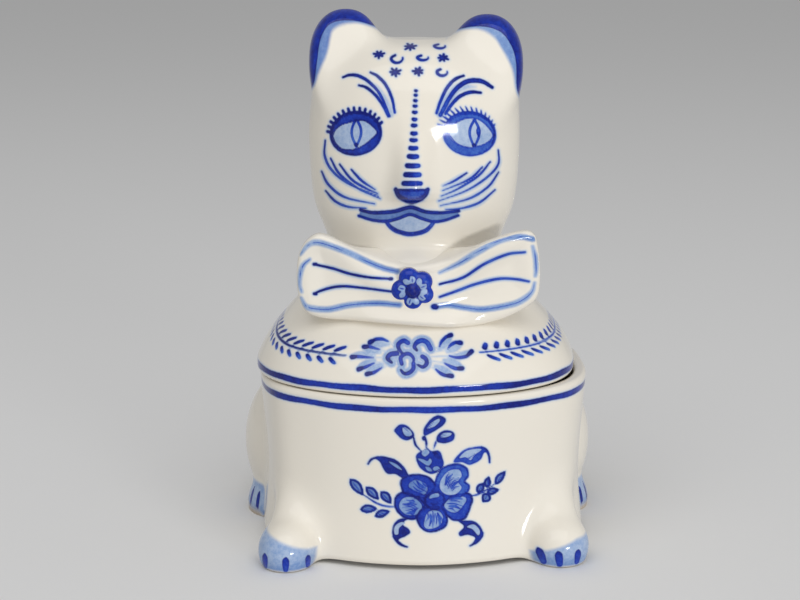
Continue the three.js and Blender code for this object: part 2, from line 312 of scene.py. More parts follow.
def places_of(piece):
    """A mesh's points, in metres."""
    places = np.empty(len(piece.data.vertices) * 3, np.float32)
    piece.data.vertices.foreach_get("co", places)
    return places.reshape(-1, 3)


def seat_on_box(piece, centre_x, centre_y, turn):
    """Turns and shifts a piece's mesh from its own frame to where it sits."""
    x, y, z = places_of(piece).T
    c, s = math.cos(turn), math.sin(turn)
    seated = np.column_stack([x * c - y * s + centre_x * MM, x * s + y * c + centre_y * MM, z])
    piece.data.vertices.foreach_set("co", seated.astype(np.float32).ravel())
    piece.data.update()


# ---- Box: paws, haunches and tail round a waisted wall ----
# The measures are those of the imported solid, with the soft joins that the clay has.

FRONT_PAWS = [((-45.8, -42.9, 5.4), (8.5, 9.4, 8.4)), ((41.4, -42.9, 5.6), (9.0, 9.4, 8.2))]
FRONT_LEGS = [(-45.4, -42.0, 7.2, 27), (41.8, -42.0, 7.6, 32)]    # foot x and y, radius, and height
LEG_START = 3.0                            # the height from which a leg leans
LEG_LEAN = 16.5                            # how far back it leans over its height
LEG_INWARD = 0.88                          # the x of its top, as a share of its foot's
LEG_TAPER = 1.0                            # how much thinner it is there
LEG_SLANT = 0.8                            # a leaning leg is nearer than it is on the level, by this share
PAW_BLEND = 5.0                            # how soft the join of paw and leg is
LEG_BLEND = 9.0
HIND_PAW = {"x": 50.8, "y": 16.0, "z": 0.0, "radii": (8.8, 13.0, 13.5), "blend": 3.5}
HAUNCH = {"x": 43.2, "y": 24.0, "z": 22.5, "radii": (17.0, 25.0, 24.5), "blend": 5.0}
TAIL_RADIUS = 4.6
TAIL_PROUD = 2.2                           # how far the tail stands out of the wall
TAIL_BLEND = 2.5
TAIL_ROOT, TAIL_TIP = (-18.0, 35.0), (30.0, 7.5)           # x and z
TAIL_NEAR = 20.0                           # in front of this y the tail is too far off to matter
GROUND_BLEND = 1.2


def box_outline():
    foot = BOX_HALF_WIDTH - APRON_SPREAD
    waist = BOX_HALF_WIDTH - WAIST
    wall = [(foot, APRON_LIFT + FOOT_ROUND), (waist, WAIST_HEIGHT), (BOX_HALF_WIDTH, RIM - RIM_ROUND)]
    under = [(0, RECESS), (foot - FOOT_RING - 1.5, RECESS), (foot - FOOT_RING, APRON_LIFT)]
    edge = [(foot - FOOT_ROUND, APRON_LIFT), (foot - 0.44, APRON_LIFT + 0.44)]
    top = [(BOX_HALF_WIDTH - 0.35, RIM - 0.35), (BOX_HALF_WIDTH - RIM_ROUND, RIM), (0, RIM)]
    return Outline([*under, *edge, *spline(wall, 24), *top], low=-6, high=RIM + 8, widest=74)


def tail_route():
    """The tail's middle line, from its root high on the back down to its tip."""
    points = []
    for along in np.linspace(0, 1, 13):
        x = mix(TAIL_ROOT[0], TAIL_TIP[0], along)
        z = mix(TAIL_ROOT[1], TAIL_TIP[1], float(ease(-0.2, 0.8, along)))
        bow = (1 - (abs(x) / BOX_HALF_WIDTH) ** BOX_BOW[0]) ** (1 / BOX_BOW[1])
        y = BOX_HALF_WIDTH * BOX_DEPTH_RATIO * bow - TAIL_RADIUS + TAIL_PROUD - WAIST / 2
        points.append((x, y, z))
    return np.array(points)


def tail_distance(p, route):
    away = np.full(p[0].shape, 1e9)
    for a, b in zip(route[:-1], route[1:]):
        d = b - a
        along = np.clip(sum((p[i] - a[i]) * d[i] for i in range(3)) / (d @ d), 0, 1)
        gap = np.sqrt(sum((p[i] - a[i] - along * d[i]) ** 2 for i in range(3)))
        away = np.minimum(away, gap)
    return away - TAIL_RADIUS


BOX_OUTLINE = box_outline()
TAIL_ROUTE = tail_route()


def front_leg(p, x, y, radius, top):
    """A leg that leans back and inwards as it rises, and is lost in the wall at its top."""
    rise = ease(LEG_START, top, p[2])
    leg = np.hypot(p[0] - mix(x, LEG_INWARD * x, rise), p[1] - mix(y, y + LEG_LEAN, rise))
    return LEG_SLANT * (leg - mix(radius, radius - LEG_TAPER, rise))


def box_distance(points):
    x, y, z = p = split(points)
    d = BOX_OUTLINE(plan_size(x, y, BOX_BOW, BOX_DEPTH_RATIO), z)
    for leg, paw in zip(FRONT_LEGS, FRONT_PAWS):
        d = union(d, union(front_leg(p, *leg), ball(p, *paw), PAW_BLEND), LEG_BLEND)
    for side in (-1, 1):
        for part in (HAUNCH, HIND_PAW):
            d = union(d, ball(p, (side * part["x"], part["y"], part["z"]), part["radii"]), part["blend"])
    if np.max(y) > TAIL_NEAR:
        d = union(d, tail_distance(p, TAIL_ROUTE), TAIL_BLEND)
    return -union(-d, z, GROUND_BLEND)


def box_columns():
    """Origin and direction of each column's rays: square to the core's sides, and fanned at its corners."""
    c, d = CORE
    corners = np.array([(-c, -d), (c, -d), (c, d), (-c, d)])
    origin, angle = [], []
    for k, (side, fan) in enumerate(BOX_COLUMNS):
        here, there = corners[k], corners[(k + 1) % 4]
        facing = 90 * k - 90
        origin += [mix(here, there, t) for t in np.arange(side) / side] + [there] * fan
        angle += [facing] * side + [facing + 90 * t for t in np.arange(fan) / fan]
    angle = np.radians(angle)
    return np.array(origin), np.column_stack([np.cos(angle), np.sin(angle)])


def plan_ring(origin, direction, size, z):
    """Where each column crosses the plan curve of that half-width."""
    low, high = np.full(len(origin), -CORE[1]), np.full(len(origin), 60.0)
    for _ in range(22):
        t = (low + high) / 2
        p = origin + direction * t[:, None]
        outside = plan_size(p[:, 0], p[:, 1], BOX_BOW, BOX_DEPTH_RATIO) > size
        high = np.where(outside, t, high)
        low = np.where(outside, low, t)
    p = origin + direction * ((low + high) / 2)[:, None]
    return np.column_stack([p, np.full(len(p), z)])


def box_inside(origin, direction):
    """Rings from the rim's outer edge over the rim, down the inner wall and across the floor."""
    rim_in = BOX_HALF_WIDTH - BOX_WALL
    foot_in = rim_in - APRON_SPREAD
    outer_round = rounding(BOX_HALF_WIDTH, RIM, -RIM_ROUND, -RIM_ROUND, [25, 50, 75, 90])
    top = [(across, RIM) for across in np.linspace(BOX_HALF_WIDTH - RIM_ROUND, rim_in + RIM_ROUND, 5)[1:]]
    inner_round = rounding(rim_in, RIM, RIM_ROUND, -RIM_ROUND, [65, 40, 15])
    wall = [(rim_in, RIM - RIM_ROUND), (rim_in - WAIST, WAIST_HEIGHT), (foot_in, FLOOR + FLOOR_FILLET)]
    fillet = rounding(foot_in, FLOOR, -FLOOR_FILLET, FLOOR_FILLET, range(15, 91, 15))
    # A plan curve that small would fold at the core's corners, so a smaller ring is this one drawn in.
    least = plan_size(*CORE, BOX_BOW, BOX_DEPTH_RATIO) + 4
    rings = []
    for across, z in [*outer_round, *top, *inner_round, *spline(wall, 26), *fillet]:
        ring = plan_ring(origin, direction, max(across, least), z)
        ring[:, :2] *= across / max(across, least)
        rings.append(ring)
    edge = rings[-1]
    for share in (0.9, 0.75, 0.55, 0.35, 0.15):
        rings.append(edge * (share, share, 1))
    return rings


# How far in from the wall's foot each of the underside's rings lies.
UNDER_STEPS = (0.12, 0.3, 0.55, 0.85, 1.2, 1.6, 2.1, 2.7, 3.4, 4.2, 5.2, 6.4, 7.8, 9.4, 11, 13, 15, 17, 20,
               24, 30, 40)


def box_underside(outline):
    """Rings from the wall's foot inwards, first square to the outline and then towards the middle. Each point
    is found straight up from below."""
    rings = []
    flat, gone = outline[:, :2].copy(), 0.0
    for step in UNDER_STEPS:
        if step < 2.5:
            def depth(dx, dy):
                return box_distance(np.column_stack([flat + (dx, dy), np.full(len(flat), FOOT_ROWS_LOW)]))
            slope = np.column_stack([depth(0.1, 0) - depth(-0.1, 0), depth(0, 0.1) - depth(0, -0.1)])
            inward = -slope / (np.hypot(*slope.T)[:, None] + 1e-9)
        else:
            inward = -flat / np.hypot(*flat.T)[:, None]
        flat = flat + inward * np.minimum(step - gone, 0.9 * np.hypot(*flat.T))[:, None]
        gone = step
        start = np.column_stack([flat, np.full(len(flat), -3.0)])
        rings.append(first_hit(lambda p: -box_distance(p), start, np.array([0.0, 0.0, 1.0]), far=9, steps=30))
    return rings


def make_box():
    """The box's mesh, and how many of its points are outside."""
    origin, direction = box_columns()
    top = RIM - RIM_ROUND
    low_rows = np.arange(FOOT_ROWS_LOW, FOOT_ROWS_TOP, FOOT_ROW_STEP)
    heights = [*low_rows, *np.arange(FOOT_ROWS_TOP, top, ROW_STEP), top]
    start = np.array([np.column_stack([origin, np.full(len(origin), z)]) for z in heights])
    heading = np.column_stack([direction, np.zeros(len(direction))])
    wall = first_hit(box_distance, start, heading, far=33)
    under = box_underside(wall[0])
    rings = np.array([*under[::-1], *wall, *box_inside(origin, direction)])[:, ::-1]
    piece = closed_shell("painted_box", rings, np.array([0, 0, RECESS]), np.array([0, 0, FLOOR]))
    return piece, 1 + (len(under) + len(wall)) * len(origin)


# ---- Lid: shoulders, neck, head, ears and nose ----

EAR = {"x": 22.8, "y": -4.2, "z": CROWN - 6.5, "half_width": 11.7, "half_height": 15.6, "half_depth": 7.5}
EAR_POWER = 2.2                            # 2 would be an ellipse
EAR_ROUND = 11.0                           # how soft its edge is
EAR_TILT = 0.28                            # the ear leans back, this much for each millimetre up
EAR_TAPER = 0.12                           # and thins by this much
EAR_LIFTS = ((-1, 0.6), (1, -1.0))         # which side, and how much higher than EAR
NOSE_X = -0.6
MUZZLE = (0, NECK + 20)                    # x and z of the low swell round the nose
MUZZLE_RADII = (20, 11)
MUZZLE_RISE = 1.7
CHIN = ((0, -19, NECK - 3.5), (23, 13, 9))                 # an ellipsoid's middle and radii
HEAD_BLEND = 9.0                           # how softly ears and chin join the head


def lid_outline():
    """Half-widths and heights, in shares of the shoulders' and the head's own sizes."""
    dome = [(1, 0.0), (1, 0.07), (0.985, 0.12), (0.86, 0.27), (0.64, 0.46), (0.36, 0.68), (0.08, 0.9)]
    skull = [(0.83, 0.08), (0.955, 0.26), (1, 0.48), (0.985, 0.68), (0.86, 0.84), (0.6, 0.955), (0.28, 0.995),
             (0.0, 1.0)]
    points = [(mix(NECK_HALF_WIDTH, LID_HALF_WIDTH, s), LID_EDGE + SHOULDER_HEIGHT * up) for s, up in dome]
    points += [(HEAD_HALF_WIDTH * s, NECK + HEAD_HEIGHT * up) for s, up in skull]
    low = LID_EDGE - 3
    skin = spline(points, 150)
    return Outline([(0, low), (LID_HALF_WIDTH, low), *skin], low=LID_EDGE - 12, high=CROWN + 20, widest=70)


LID_OUTLINE = lid_outline()


def neck_share(z):
    """0 at the shoulders and 1 from the neck up."""
    return ease(LID_EDGE + SHOULDER_HEIGHT * 0.2, NECK, z)


def lid_middle(z):
    """Where the lid's axis is at a height: the head lies a little behind and leans a little to one side."""
    return HEAD_LEAN * neck_share(z), HEAD_BACK * neck_share(z)


def ear_distance(p, side, lift):
    """An ear: an upright oval with soft edges, flat in front and behind, leaning back a little."""
    rise = p[2] - EAR["z"]
    across = np.abs(p[0] - side * EAR["x"]) / EAR["half_width"]
    up = np.abs(rise - lift) / EAR["half_height"]
    oval_edge = ((across ** EAR_POWER + up ** EAR_POWER) ** (1 / EAR_POWER) - 1) * EAR["half_width"]
    through = np.abs(p[1] - EAR["y"] - EAR_TILT * rise) - EAR["half_depth"] + EAR_TAPER * rise
    return -union(-oval_edge, -through, EAR_ROUND)


def nose_height(x, z):
    """How far the nose stands out of the face, on the low swell of the muzzle: a ridge that widens and rises
    downwards to a blunt tip."""
    rows = NECK + np.array([20.5, 22.0, 23.3, 25.0, 27.0, 30.0, 34.0, 38.0, 44.0, 52.0])
    height = np.interp(z, rows, [0, 1.6, 4.6, 7.0, 7.7, 7.1, 5.3, 3.5, 1.5, 0])
    width = np.interp(z, rows, [5.6, 5.6, 5.7, 5.7, 5.5, 5.1, 4.8, 4.8, 5.0, 5.2])
    across, up = (x - MUZZLE[0]) / MUZZLE_RADII[0], (z - MUZZLE[1]) / MUZZLE_RADII[1]
    ridge = height * np.exp(-0.8 * (np.abs(x - NOSE_X) / width) ** 2.4)
    return ridge + MUZZLE_RISE * np.exp(-across ** 2 - up ** 2)


def make_lid_distance(azimuth):
    """The lid's distance for points in columns, each column at its azimuth from the lid's axis."""
    low = reach(azimuth, BOX_BOW, LID_DEPTH_RATIO)
    neck = reach(azimuth, HEAD_BOW, NECK_DEPTH_RATIO)
    top = reach(azimuth, HEAD_BOW, HEAD_DEPTH_RATIO)

    def shell(points):
        x, y, z = split(points)
        mid_x, mid_y = lid_middle(z)
        at = mix(mix(low, neck, neck_share(z)), top, ease(NECK, NECK + HEAD_HEIGHT * 0.48, z))
        return LID_OUTLINE(np.hypot(x - mid_x, y - mid_y) / at, z)

    def outside(points):
        x, y, z = p = split(points)
        d = shell(points)
        for side, lift in EAR_LIFTS:
            d = union(d, ear_distance(p, side, lift), HEAD_BLEND)
        d = union(d, ball(p, *CHIN), HEAD_BLEND)
        return d - nose_height(x, z) * (y < 0)

    return shell, outside


def lid_azimuths():
    """Columns round the lid, closer together over the front. Azimuth 0 is +X, so the front is at -90."""
    share = np.linspace(0, 1, 3001)
    density = mix(1.0, 0.33, ease(0.5, 0.75, np.abs(share - 0.5) * 2))
    total = np.concatenate([[0], np.cumsum((density[1:] + density[:-1]) / 2)])
    wanted = np.arange(LID_COLUMNS) / LID_COLUMNS * total[-1]
    return np.interp(wanted, total, -0.5 * np.pi + (share - 0.5) * 2 * np.pi)


def lid_rays(azimuth, heights, elevations):
    """Level rays from the axis at each height, then rays from one point that turn up to the crown."""
    rows = [(z, 0.0) for z in heights] + [(LOOK_OUT, e) for e in elevations]
    start = np.zeros((len(rows), len(azimuth), 3))
    heading = np.zeros_like(start)
    for i, (z, elevation) in enumerate(rows):
        start[i] = (*lid_middle(z), z)
        heading[i, :, 0] = np.cos(azimuth) * math.cos(elevation)
        heading[i, :, 1] = np.sin(azimuth) * math.cos(elevation)
        heading[i, :, 2] = math.sin(elevation)
    return start, heading


def make_lid():
    """The lid's mesh, and how many of its points are outside."""
    azimuth = lid_azimuths()
    shell, outside = make_lid_distance(azimuth)
    edge = LID_EDGE + LID_EDGE_ROUND
    crown = np.radians(np.arange(0, 89.8, CROWN_STEP))
    rays = lid_rays(azimuth, np.arange(edge, LOOK_OUT, ROW_STEP), crown)
    skin = first_hit(outside, *rays, far=75, steps=30)
    wide, inner, foot = FLANGE_HALF_WIDTH, FLANGE_HALF_WIDTH - FLANGE_WALL, LID_LOW.z / MM
    edge_round = rounding(LID_HALF_WIDTH, LID_EDGE, -LID_EDGE_ROUND, LID_EDGE_ROUND, [20, 45, 70, 90])
    flange = [(wide + 1.2, LID_EDGE), (wide + 0.3, LID_EDGE - 0.3), (wide, LID_EDGE - 1), (wide, foot + 0.8),
              (wide - 0.3, foot + 0.2), (wide - 0.9, foot), (inner + 0.9, foot), (inner + 0.2, foot + 0.3),
              (inner, foot + 1), (inner, LID_EDGE + 1), (inner + 0.8, LID_EDGE + 3)]
    round_about = np.column_stack([np.cos(azimuth), np.sin(azimuth)])
    round_about *= reach(azimuth, BOX_BOW, LID_DEPTH_RATIO)[:, None]
    lower = []
    for size, z in [*edge_round, *flange]:
        lower.append(np.column_stack([size * round_about, np.full(len(azimuth), z)]))
    crown = np.radians(np.arange(0, 88, HOLLOW_CROWN_STEP))
    rays = lid_rays(azimuth, np.arange(LID_EDGE + 5, LOOK_OUT, HOLLOW_ROW_STEP), crown)
    hollow = first_hit(lambda p: shell(p) + LID_WALL, *rays, far=70, steps=30)
    rings = np.array([*skin[::-1], *lower, *hollow])
    piece = closed_shell("painted_lid", rings, skin[-1].mean(axis=0), hollow[-1].mean(axis=0))
    return piece, 1 + (len(skin) + len(edge_round)) * len(azimuth)


# ---- Bow tie ----

KNOT = NECK - 6.0                          # height of the bow's middle
BOW_FRONT = -34.5                          # the knot's front
BOW_BEND = 5.5                             # how far the wing tips bend back
BOW_REACH = 38.6
BOW_EDGE = 1.9                             # roundness of the bow's edges
BOW_LIFT = 2.5                             # how far the bow's middle climbs towards the neck
BOW_DISH = 1.7                             # how deep each wing is dished
BOW_RIM = (0.6, 8.0)                       # how far inside the edge the dish begins, and has its full depth
KNOT_RADIUS = 9.0
MIDDLE_THICKNESS, WING_THICKNESS = 16.0, 6.2
BOW_TURN = 3.5                             # how far the middle turns back at its top edge
BOW_FLARE = 2.6                            # how far it comes forward at its bottom edge
BOW_TURN_REACH = 6                         # how far inside those edges this begins
BOW_STEPS = 24                             # points of the smooth outline between two of these
# The outline, anticlockwise from the lower left corner. Each side starts at its corner.
BOW_SIDES = [
    [(-32.9, -8.2), (-28.5, -9.2), (-21.5, -9.4), (-11.5, -9.4), (-0.4, -9.9), (10.6, -10.8),
     (19.5, -10.8), (27.3, -9.2), (33.2, -6.8)],
    [(37.6, -4.0), (39.3, -1.2), (39.8, 3.5), (39.6, 9.0), (38.9, 14.0), (38.0, 17.4)],
    [(36.6, 18.6), (34.2, 18.9), (29.4, 17.9), (22.5, 15.7), (15.6, 12.3), (8.6, 9.3), (-0.4, 7.9),
     (-8.4, 9.2), (-15.5, 11.9), (-22.6, 15.3), (-27.2, 17.3), (-30.3, 17.9)],
    [(-32.6, 16.9), (-34.9, 14.6), (-36.4, 11.5), (-37.2, 7), (-37.3, 2), (-36.7, -2.6), (-35.3, -6.1)],
]


def bow_sides():
    """Each side of the bow as a run of points inside the rounded edge, beside their places on the outline."""
    curve = closed_spline([point for side in BOW_SIDES for point in side], BOW_STEPS)
    along = np.roll(curve, -3, axis=0) - np.roll(curve, 3, axis=0)
    normal = np.column_stack([along[:, 1], -along[:, 0]])
    normal /= np.hypot(*normal.T)[:, None]
    both = np.hstack([curve - normal * BOW_EDGE, curve])
    starts = np.cumsum([0, *(len(side) for side in BOW_SIDES)]) * BOW_STEPS
    counts = (BOW_COLUMNS, BOW_ROWS, BOW_COLUMNS, BOW_ROWS)
    return [resample(both[np.arange(a, b + 1) % len(both)], n) for a, b, n in zip(starts, starts[1:], counts)]


def resample(points, count):
    """As many points at even steps along the run, measured over the first two columns."""
    step = np.hypot(np.diff(points[:, 0]), np.diff(points[:, 1]))
    along = np.concatenate([[0], np.cumsum(step)])
    wanted = np.linspace(0, along[-1], count)
    return np.column_stack([np.interp(wanted, along, column) for column in points.T])


def bow_bend(x):
    return BOW_FRONT + BOW_BEND * (x / BOW_REACH) ** 2


def bow_front(x, edge, above, below):
    """The bow's front: bent back towards the tips, with each wing dished inside a raised rim.

    Its middle turns back into the neck along the top, and flares out onto the shoulder along the bottom.
    """
    dish = BOW_DISH * ease(*BOW_RIM, edge) * ease(6, 18, np.abs(x))
    middle = 1 - ease(9, 24, np.abs(x))
    at_top, at_bottom = (np.clip(1 - away / BOW_TURN_REACH, 0, 1) ** 2 for away in (below, above))
    turn = BOW_TURN * at_top - BOW_FLARE * at_bottom
    return bow_bend(x) + dish - np.exp(-(x / KNOT_RADIUS) ** 2) + turn * middle


def bow_back(x):
    """The bow's back: thin wings, and a thick middle that runs into the neck."""
    return bow_bend(x) + mix(MIDDLE_THICKNESS, WING_THICKNESS, ease(8, 24, np.abs(x)))


def make_bow():
    runs = bow_sides()
    bottom, right, top, left = runs[0][:, :2], runs[1][:, :2], runs[2][::-1, :2], runs[3][::-1, :2]
    u = np.linspace(0, 1, BOW_COLUMNS)[:, None, None]
    v = np.linspace(0, 1, BOW_ROWS)[None, :, None]
    patch = (1 - v) * bottom[:, None] + v * top[:, None] + (1 - u) * left[None] + u * right[None]
    patch -= (1 - u) * (1 - v) * bottom[0] + u * (1 - v) * bottom[-1] + (1 - u) * v * top[0] + u * v * top[-1]
    x, z = patch[..., 0], patch[..., 1]
    around = np.vstack([run[:-1] for run in runs])
    inner, outwards = around[:, :2], around[:, 2:] - around[:, :2]
    edge = np.abs(outline_distance(x, z, inner[::2], np.roll(inner[::2], -1, axis=0)))
    lift = BOW_LIFT * (1 - ease(9, 22, np.abs(x))) * np.linspace(0, 1, BOW_ROWS) ** 3
    front = np.stack([x, bow_front(x, edge, z - z[:, :1], z[:, -1:] - z), z + KNOT], -1)
    back = np.stack([x, bow_back(x), z + KNOT + lift], -1)
    start_y, end_y = border(front)[:, 1], border(back)[:, 1]
    climb = border(back)[:, 2] - border(front)[:, 2]
    places = [(math.sin(a), start_y + BOW_EDGE * (1 - math.cos(a))) for a in np.radians([18, 36, 54, 72, 90])]
    places += [(1.0, mix(start_y + BOW_EDGE, end_y - BOW_EDGE, share)) for share in (0.35, 0.7)]
    places += [(math.sin(a), end_y - BOW_EDGE * (1 - math.cos(a))) for a in np.radians([90, 67, 45, 22])]
    rings = []
    for share, y in places:
        flat = inner + outwards * share
        up = climb * (y - start_y) / (end_y - start_y)
        rings.append(np.column_stack([flat[:, 0], y, flat[:, 1] + KNOT + up]))
    return pillow("painted_bow", front, np.array(rings), back)


def border(sheet):
    """The points round a sheet's edge, in order."""
    return np.concatenate([sheet[:-1, 0], sheet[-1, :-1], sheet[:0:-1, -1], sheet[0, :0:-1]])


def pillow(name, front, rings, back):
    """A closed mesh from a front sheet, rings of points round its edge, and a back sheet."""
    columns, rows = front.shape[:2]
    index = np.arange(columns * rows).reshape(columns, rows)
    rim = border(index)
    far = index.size + len(rings) * len(rim)
    bands = np.vstack([rim, np.arange(index.size, far).reshape(len(rings), -1), far + rim])
    cells = strip(index[:, :-1], index[:, 1:]).reshape(-1, 4)
    faces = [cells, strip(bands, np.roll(bands, -1, axis=1)), far + cells[:, ::-1]]
    vertices = np.vstack([part.reshape(-1, 3) for part in (front, rings, back)])
    # The front, the edge and the back each take a strip of the UV square, one above the other.
    sheet = uv_grid(columns, rows, 0, 1)[..., ::-1].reshape(-1, 2)
    edge = uv_grid(len(bands), len(rim) + 1, 0.61, 0.73)
    front_uv, back_uv = sheet * (1, 0.6), sheet * (1, 0.26) + (0, 0.74)
    uv = [front_uv[cells], strip(edge[:, :-1], edge[:, 1:]), back_uv[cells[:, ::-1]]]
    return fill_mesh(name, vertices, faces, uv)


# ---- Rosette: five petals round a boss ----

ROSETTE_X = -0.3
ROSETTE_Z = KNOT + 1.2
ROSETTE_BACK = BOW_FRONT + 0.6
ROSETTE_FOOT = 1.5                         # how much thicker it is behind its widest place
PETAL_ANGLES = (39, 109, 184, 270, 339)
PETAL_REACH = 3.7
PETAL_RADII = (3.3, 2.7, 3.3)
PETAL_BLEND = 0.7
BOSS_RADII = (2.7, 3.8, 2.7)


def rosette_distance(points):
    p = split(points)
    d = ball(p, (ROSETTE_X, ROSETTE_BACK, ROSETTE_Z), BOSS_RADII)
    for x, z in oval(ROSETTE_X, ROSETTE_Z, PETAL_REACH, PETAL_REACH, PETAL_ANGLES):
        d = union(d, ball(p, (x, ROSETTE_BACK, z), PETAL_RADII), PETAL_BLEND)
    return d


def make_rosette():
    around = np.arange(ROSETTE_COLUMNS) / ROSETTE_COLUMNS * 2 * np.pi
    lift = np.radians([0, 3, 7, *np.linspace(10, 88, 52)])[:, None]
    across, up = np.cos(around) * np.cos(lift), np.sin(around) * np.cos(lift)
    heading = np.stack([across, -np.sin(lift) + 0 * around, up], -1)
    centre = np.array([ROSETTE_X, ROSETTE_BACK, ROSETTE_Z])
    rings = first_hit(rosette_distance, np.broadcast_to(centre, heading.shape), heading, far=10, steps=40)
    behind = np.array([0, ROSETTE_FOOT, 0])
    rings = np.vstack([rings[:1] + behind, rings])[:, ::-1]
    return closed_shell("painted_rosette", rings, centre + behind, rings[-1].mean(axis=0))


# ---- Painting ----
# Two layers of cobalt: dark strokes, and pale washes. Each vertex keeps its signed distance to the nearest
# stroke and wash (less than nought inside) and how dark each is there. Where strokes cross, the darker shows.

FAR = 3.0                                  # a mark is worked out no further than this from its edge
VIEW = math.radians(12)                    # the fronts are laid out as seen from this far above
SHARP = 4.0                                # how crisp a mark's edge is, against a soft wash at about 1.5
PRESS, RELEASE = 0.25, 0.45                # shares of a stroke over which the brush is set down and lifted
BRANCH_RADIUS = 46.0                       # half-width of the shoulders where the branches run
BRANCH_HEIGHT = 67.4
BRANCH_SLANT = 1.5                         # how much longer the shoulder is along its slope than upright
BAND_HALF_WIDTH = 0.98
LID_BAND = LID_EDGE + 2.5                  # heights of the bands' middles
BOX_BAND = RIM - 3.3


class Painting:
    """The cobalt on one piece."""

    def __init__(self, piece):
        self.piece = piece
        self.x, self.y, self.z = places_of(piece).T.astype(float) / MM
        self.w = self.z * math.cos(VIEW) + self.y * math.sin(VIEW)
        count = len(self.x)
        self.layers = {name: [np.full(count, FAR), np.full(count, 0.5)] for name in ("line", "wash")}
        self.crisp = np.full(count, SHARP)
        self.bare = np.zeros(count)

    def lay_out(self, u, v, where):
        """Sets the flat layout that the next marks are drawn in."""
        chosen = np.nonzero(where)[0]
        self.index = chosen[np.argsort(u[chosen])]
        self.u, self.v = u[self.index], v[self.index]

    def near(self, points):
        """The vertices that a mark through the points can reach, and their places in the layout."""
        low, high = points.min(axis=0) - FAR, points.max(axis=0) + FAR
        a, b = np.searchsorted(self.u, [low[0], high[0]])
        rows = np.arange(a, b)
        rows = rows[(self.v[a:b] > low[1]) & (self.v[a:b] < high[1])]
        return self.index[rows], self.u[rows], self.v[rows]

    def lay(self, layer, index, distance, tone, crisp=SHARP):
        """Adds a mark to a layer. Of two lines that cross the darker shows, and of two washes the nearer."""
        values, tones = self.layers[layer]
        before, under = values[index], tones[index]
        closer = distance < before
        tone = tone + 0 * distance
        if layer == "wash":
            self.crisp[index[closer]] = crisp
            tones[index[closer]] = tone[closer]
        else:
            over = (distance < 0) & (before < 0)
            tones[index] = np.where(over, np.maximum(tone, under), np.where(closer, tone, under))
        values[index] = np.minimum(before, distance)

    def brush(self, points, width, tone=0.8, ends=(0.7, 0.35), layer="line", crisp=SHARP):
        """A brush stroke along a smooth curve, narrower at its ends. Two tones run from start to end."""
        steps = 7 * (len(points) - 1) + 1
        curve = spline(points, steps)
        t = np.linspace(0, 1, steps)
        press = np.minimum(mix(ends[0], 1, t / PRESS), mix(ends[1], 1, (1 - t) / RELEASE))
        radius = width / 2 * np.minimum(press, 1)
        index, u, v = self.near(curve)
        best, at = np.full(len(index), FAR), np.zeros(len(index))
        for i in range(steps - 1):
            away, k = to_segment(u, v, curve[i], curve[i + 1])
            away = away - mix(radius[i], radius[i + 1], k)
            closer = away < best
            best[closer] = away[closer]
            at[closer] = mix(t[i], t[i + 1], k)[closer]
        first, last = tone if isinstance(tone, tuple) else (tone, tone)
        self.lay(layer, index, best, mix(first, last, at), crisp)

    def wash(self, points, width, tone, ends=(0.7, 0.35), crisp=1.5):
        """A soft stroke in the pale layer."""
        self.brush(points, width, tone, ends, "wash", crisp)

    def loop(self, points, smooth=True):
        """Signed distance to a closed outline."""
        p = closed_spline(points, 6) if smooth else np.array(points, float)
        index, u, v = self.near(p)
        return index, outline_distance(u, v, p, np.roll(p, -1, axis=0))

    def fill(self, points, tone=0.8, layer="line", smooth=True):
        index, away = self.loop(points, smooth)
        self.lay(layer, index, away, tone)

    def lift(self, points, tone):
        """Opens a hole in the dark layer and lays a wash in it."""
        index, away = self.loop(points)
        line = self.layers["line"][0]
        line[index] = np.maximum(line[index], -away)
        values, tones = self.layers["wash"]
        inside = away < 0.3
        index, away = index[inside], away[inside]
        values[index] = np.minimum(values[index], away - 0.6)
        tones[index] = tone

    def leaf(self, base, tip, width, bend=0.15, rim=0.75, wash=0.75):
        """A pointed leaf with a dark rim and a wash inside, its middle bent to one side, and a pale vein."""
        base, tip = np.array(base), np.array(tip)
        along = tip - base
        across = np.array([-along[1], along[0]]) / math.hypot(*along)
        t = np.linspace(0.0, 1, 9)
        half = width / 2 * np.sin(np.pi * t ** 0.85) ** 0.8
        spine = base + along * t[:, None] + across * (bend * np.sin(np.pi * t))[:, None]
        left, right = spine + across * half[:, None], spine - across * half[:, None]
        index, away = self.loop(np.vstack([left[:-1], right[:0:-1]]), smooth=False)
        line = self.layers["line"][0]
        line[index] = np.where(away < 0, FAR, line[index])
        values, tones = self.layers["wash"]
        inside = away < 0.2
        values[index[inside]] = away[inside] - 0.3
        tones[index[inside]] = wash
        self.lay("line", index, np.abs(away + rim / 2) - rim / 2, 0.8)
        middle = (base + tip) / 2
        self.brush([mix(base, middle, 0.5), mix(middle, tip, 0.5)], 0.45, 0.3)

    def region(self, layer, where, distance, tone, crisp=SHARP):
        """A mark given by a distance worked out elsewhere."""
        index = np.nonzero(where)[0]
        self.lay(layer, index, distance[index], tone[index] if np.ndim(tone) else tone, crisp)

    def keep(self):
        """Puts the painting on the mesh, as values of its vertices."""
        kept = {"crisp": self.crisp, "bare": self.bare}
        for layer, (values, tones) in self.layers.items():
            kept[layer], kept[layer + "_tone"] = np.clip(values, -FAR, FAR), tones
        for name, values in kept.items():
            attribute = self.piece.data.attributes.new(name, "FLOAT", "POINT")
            attribute.data.foreach_set("value", values.astype(np.float32))


# ---- Face ----

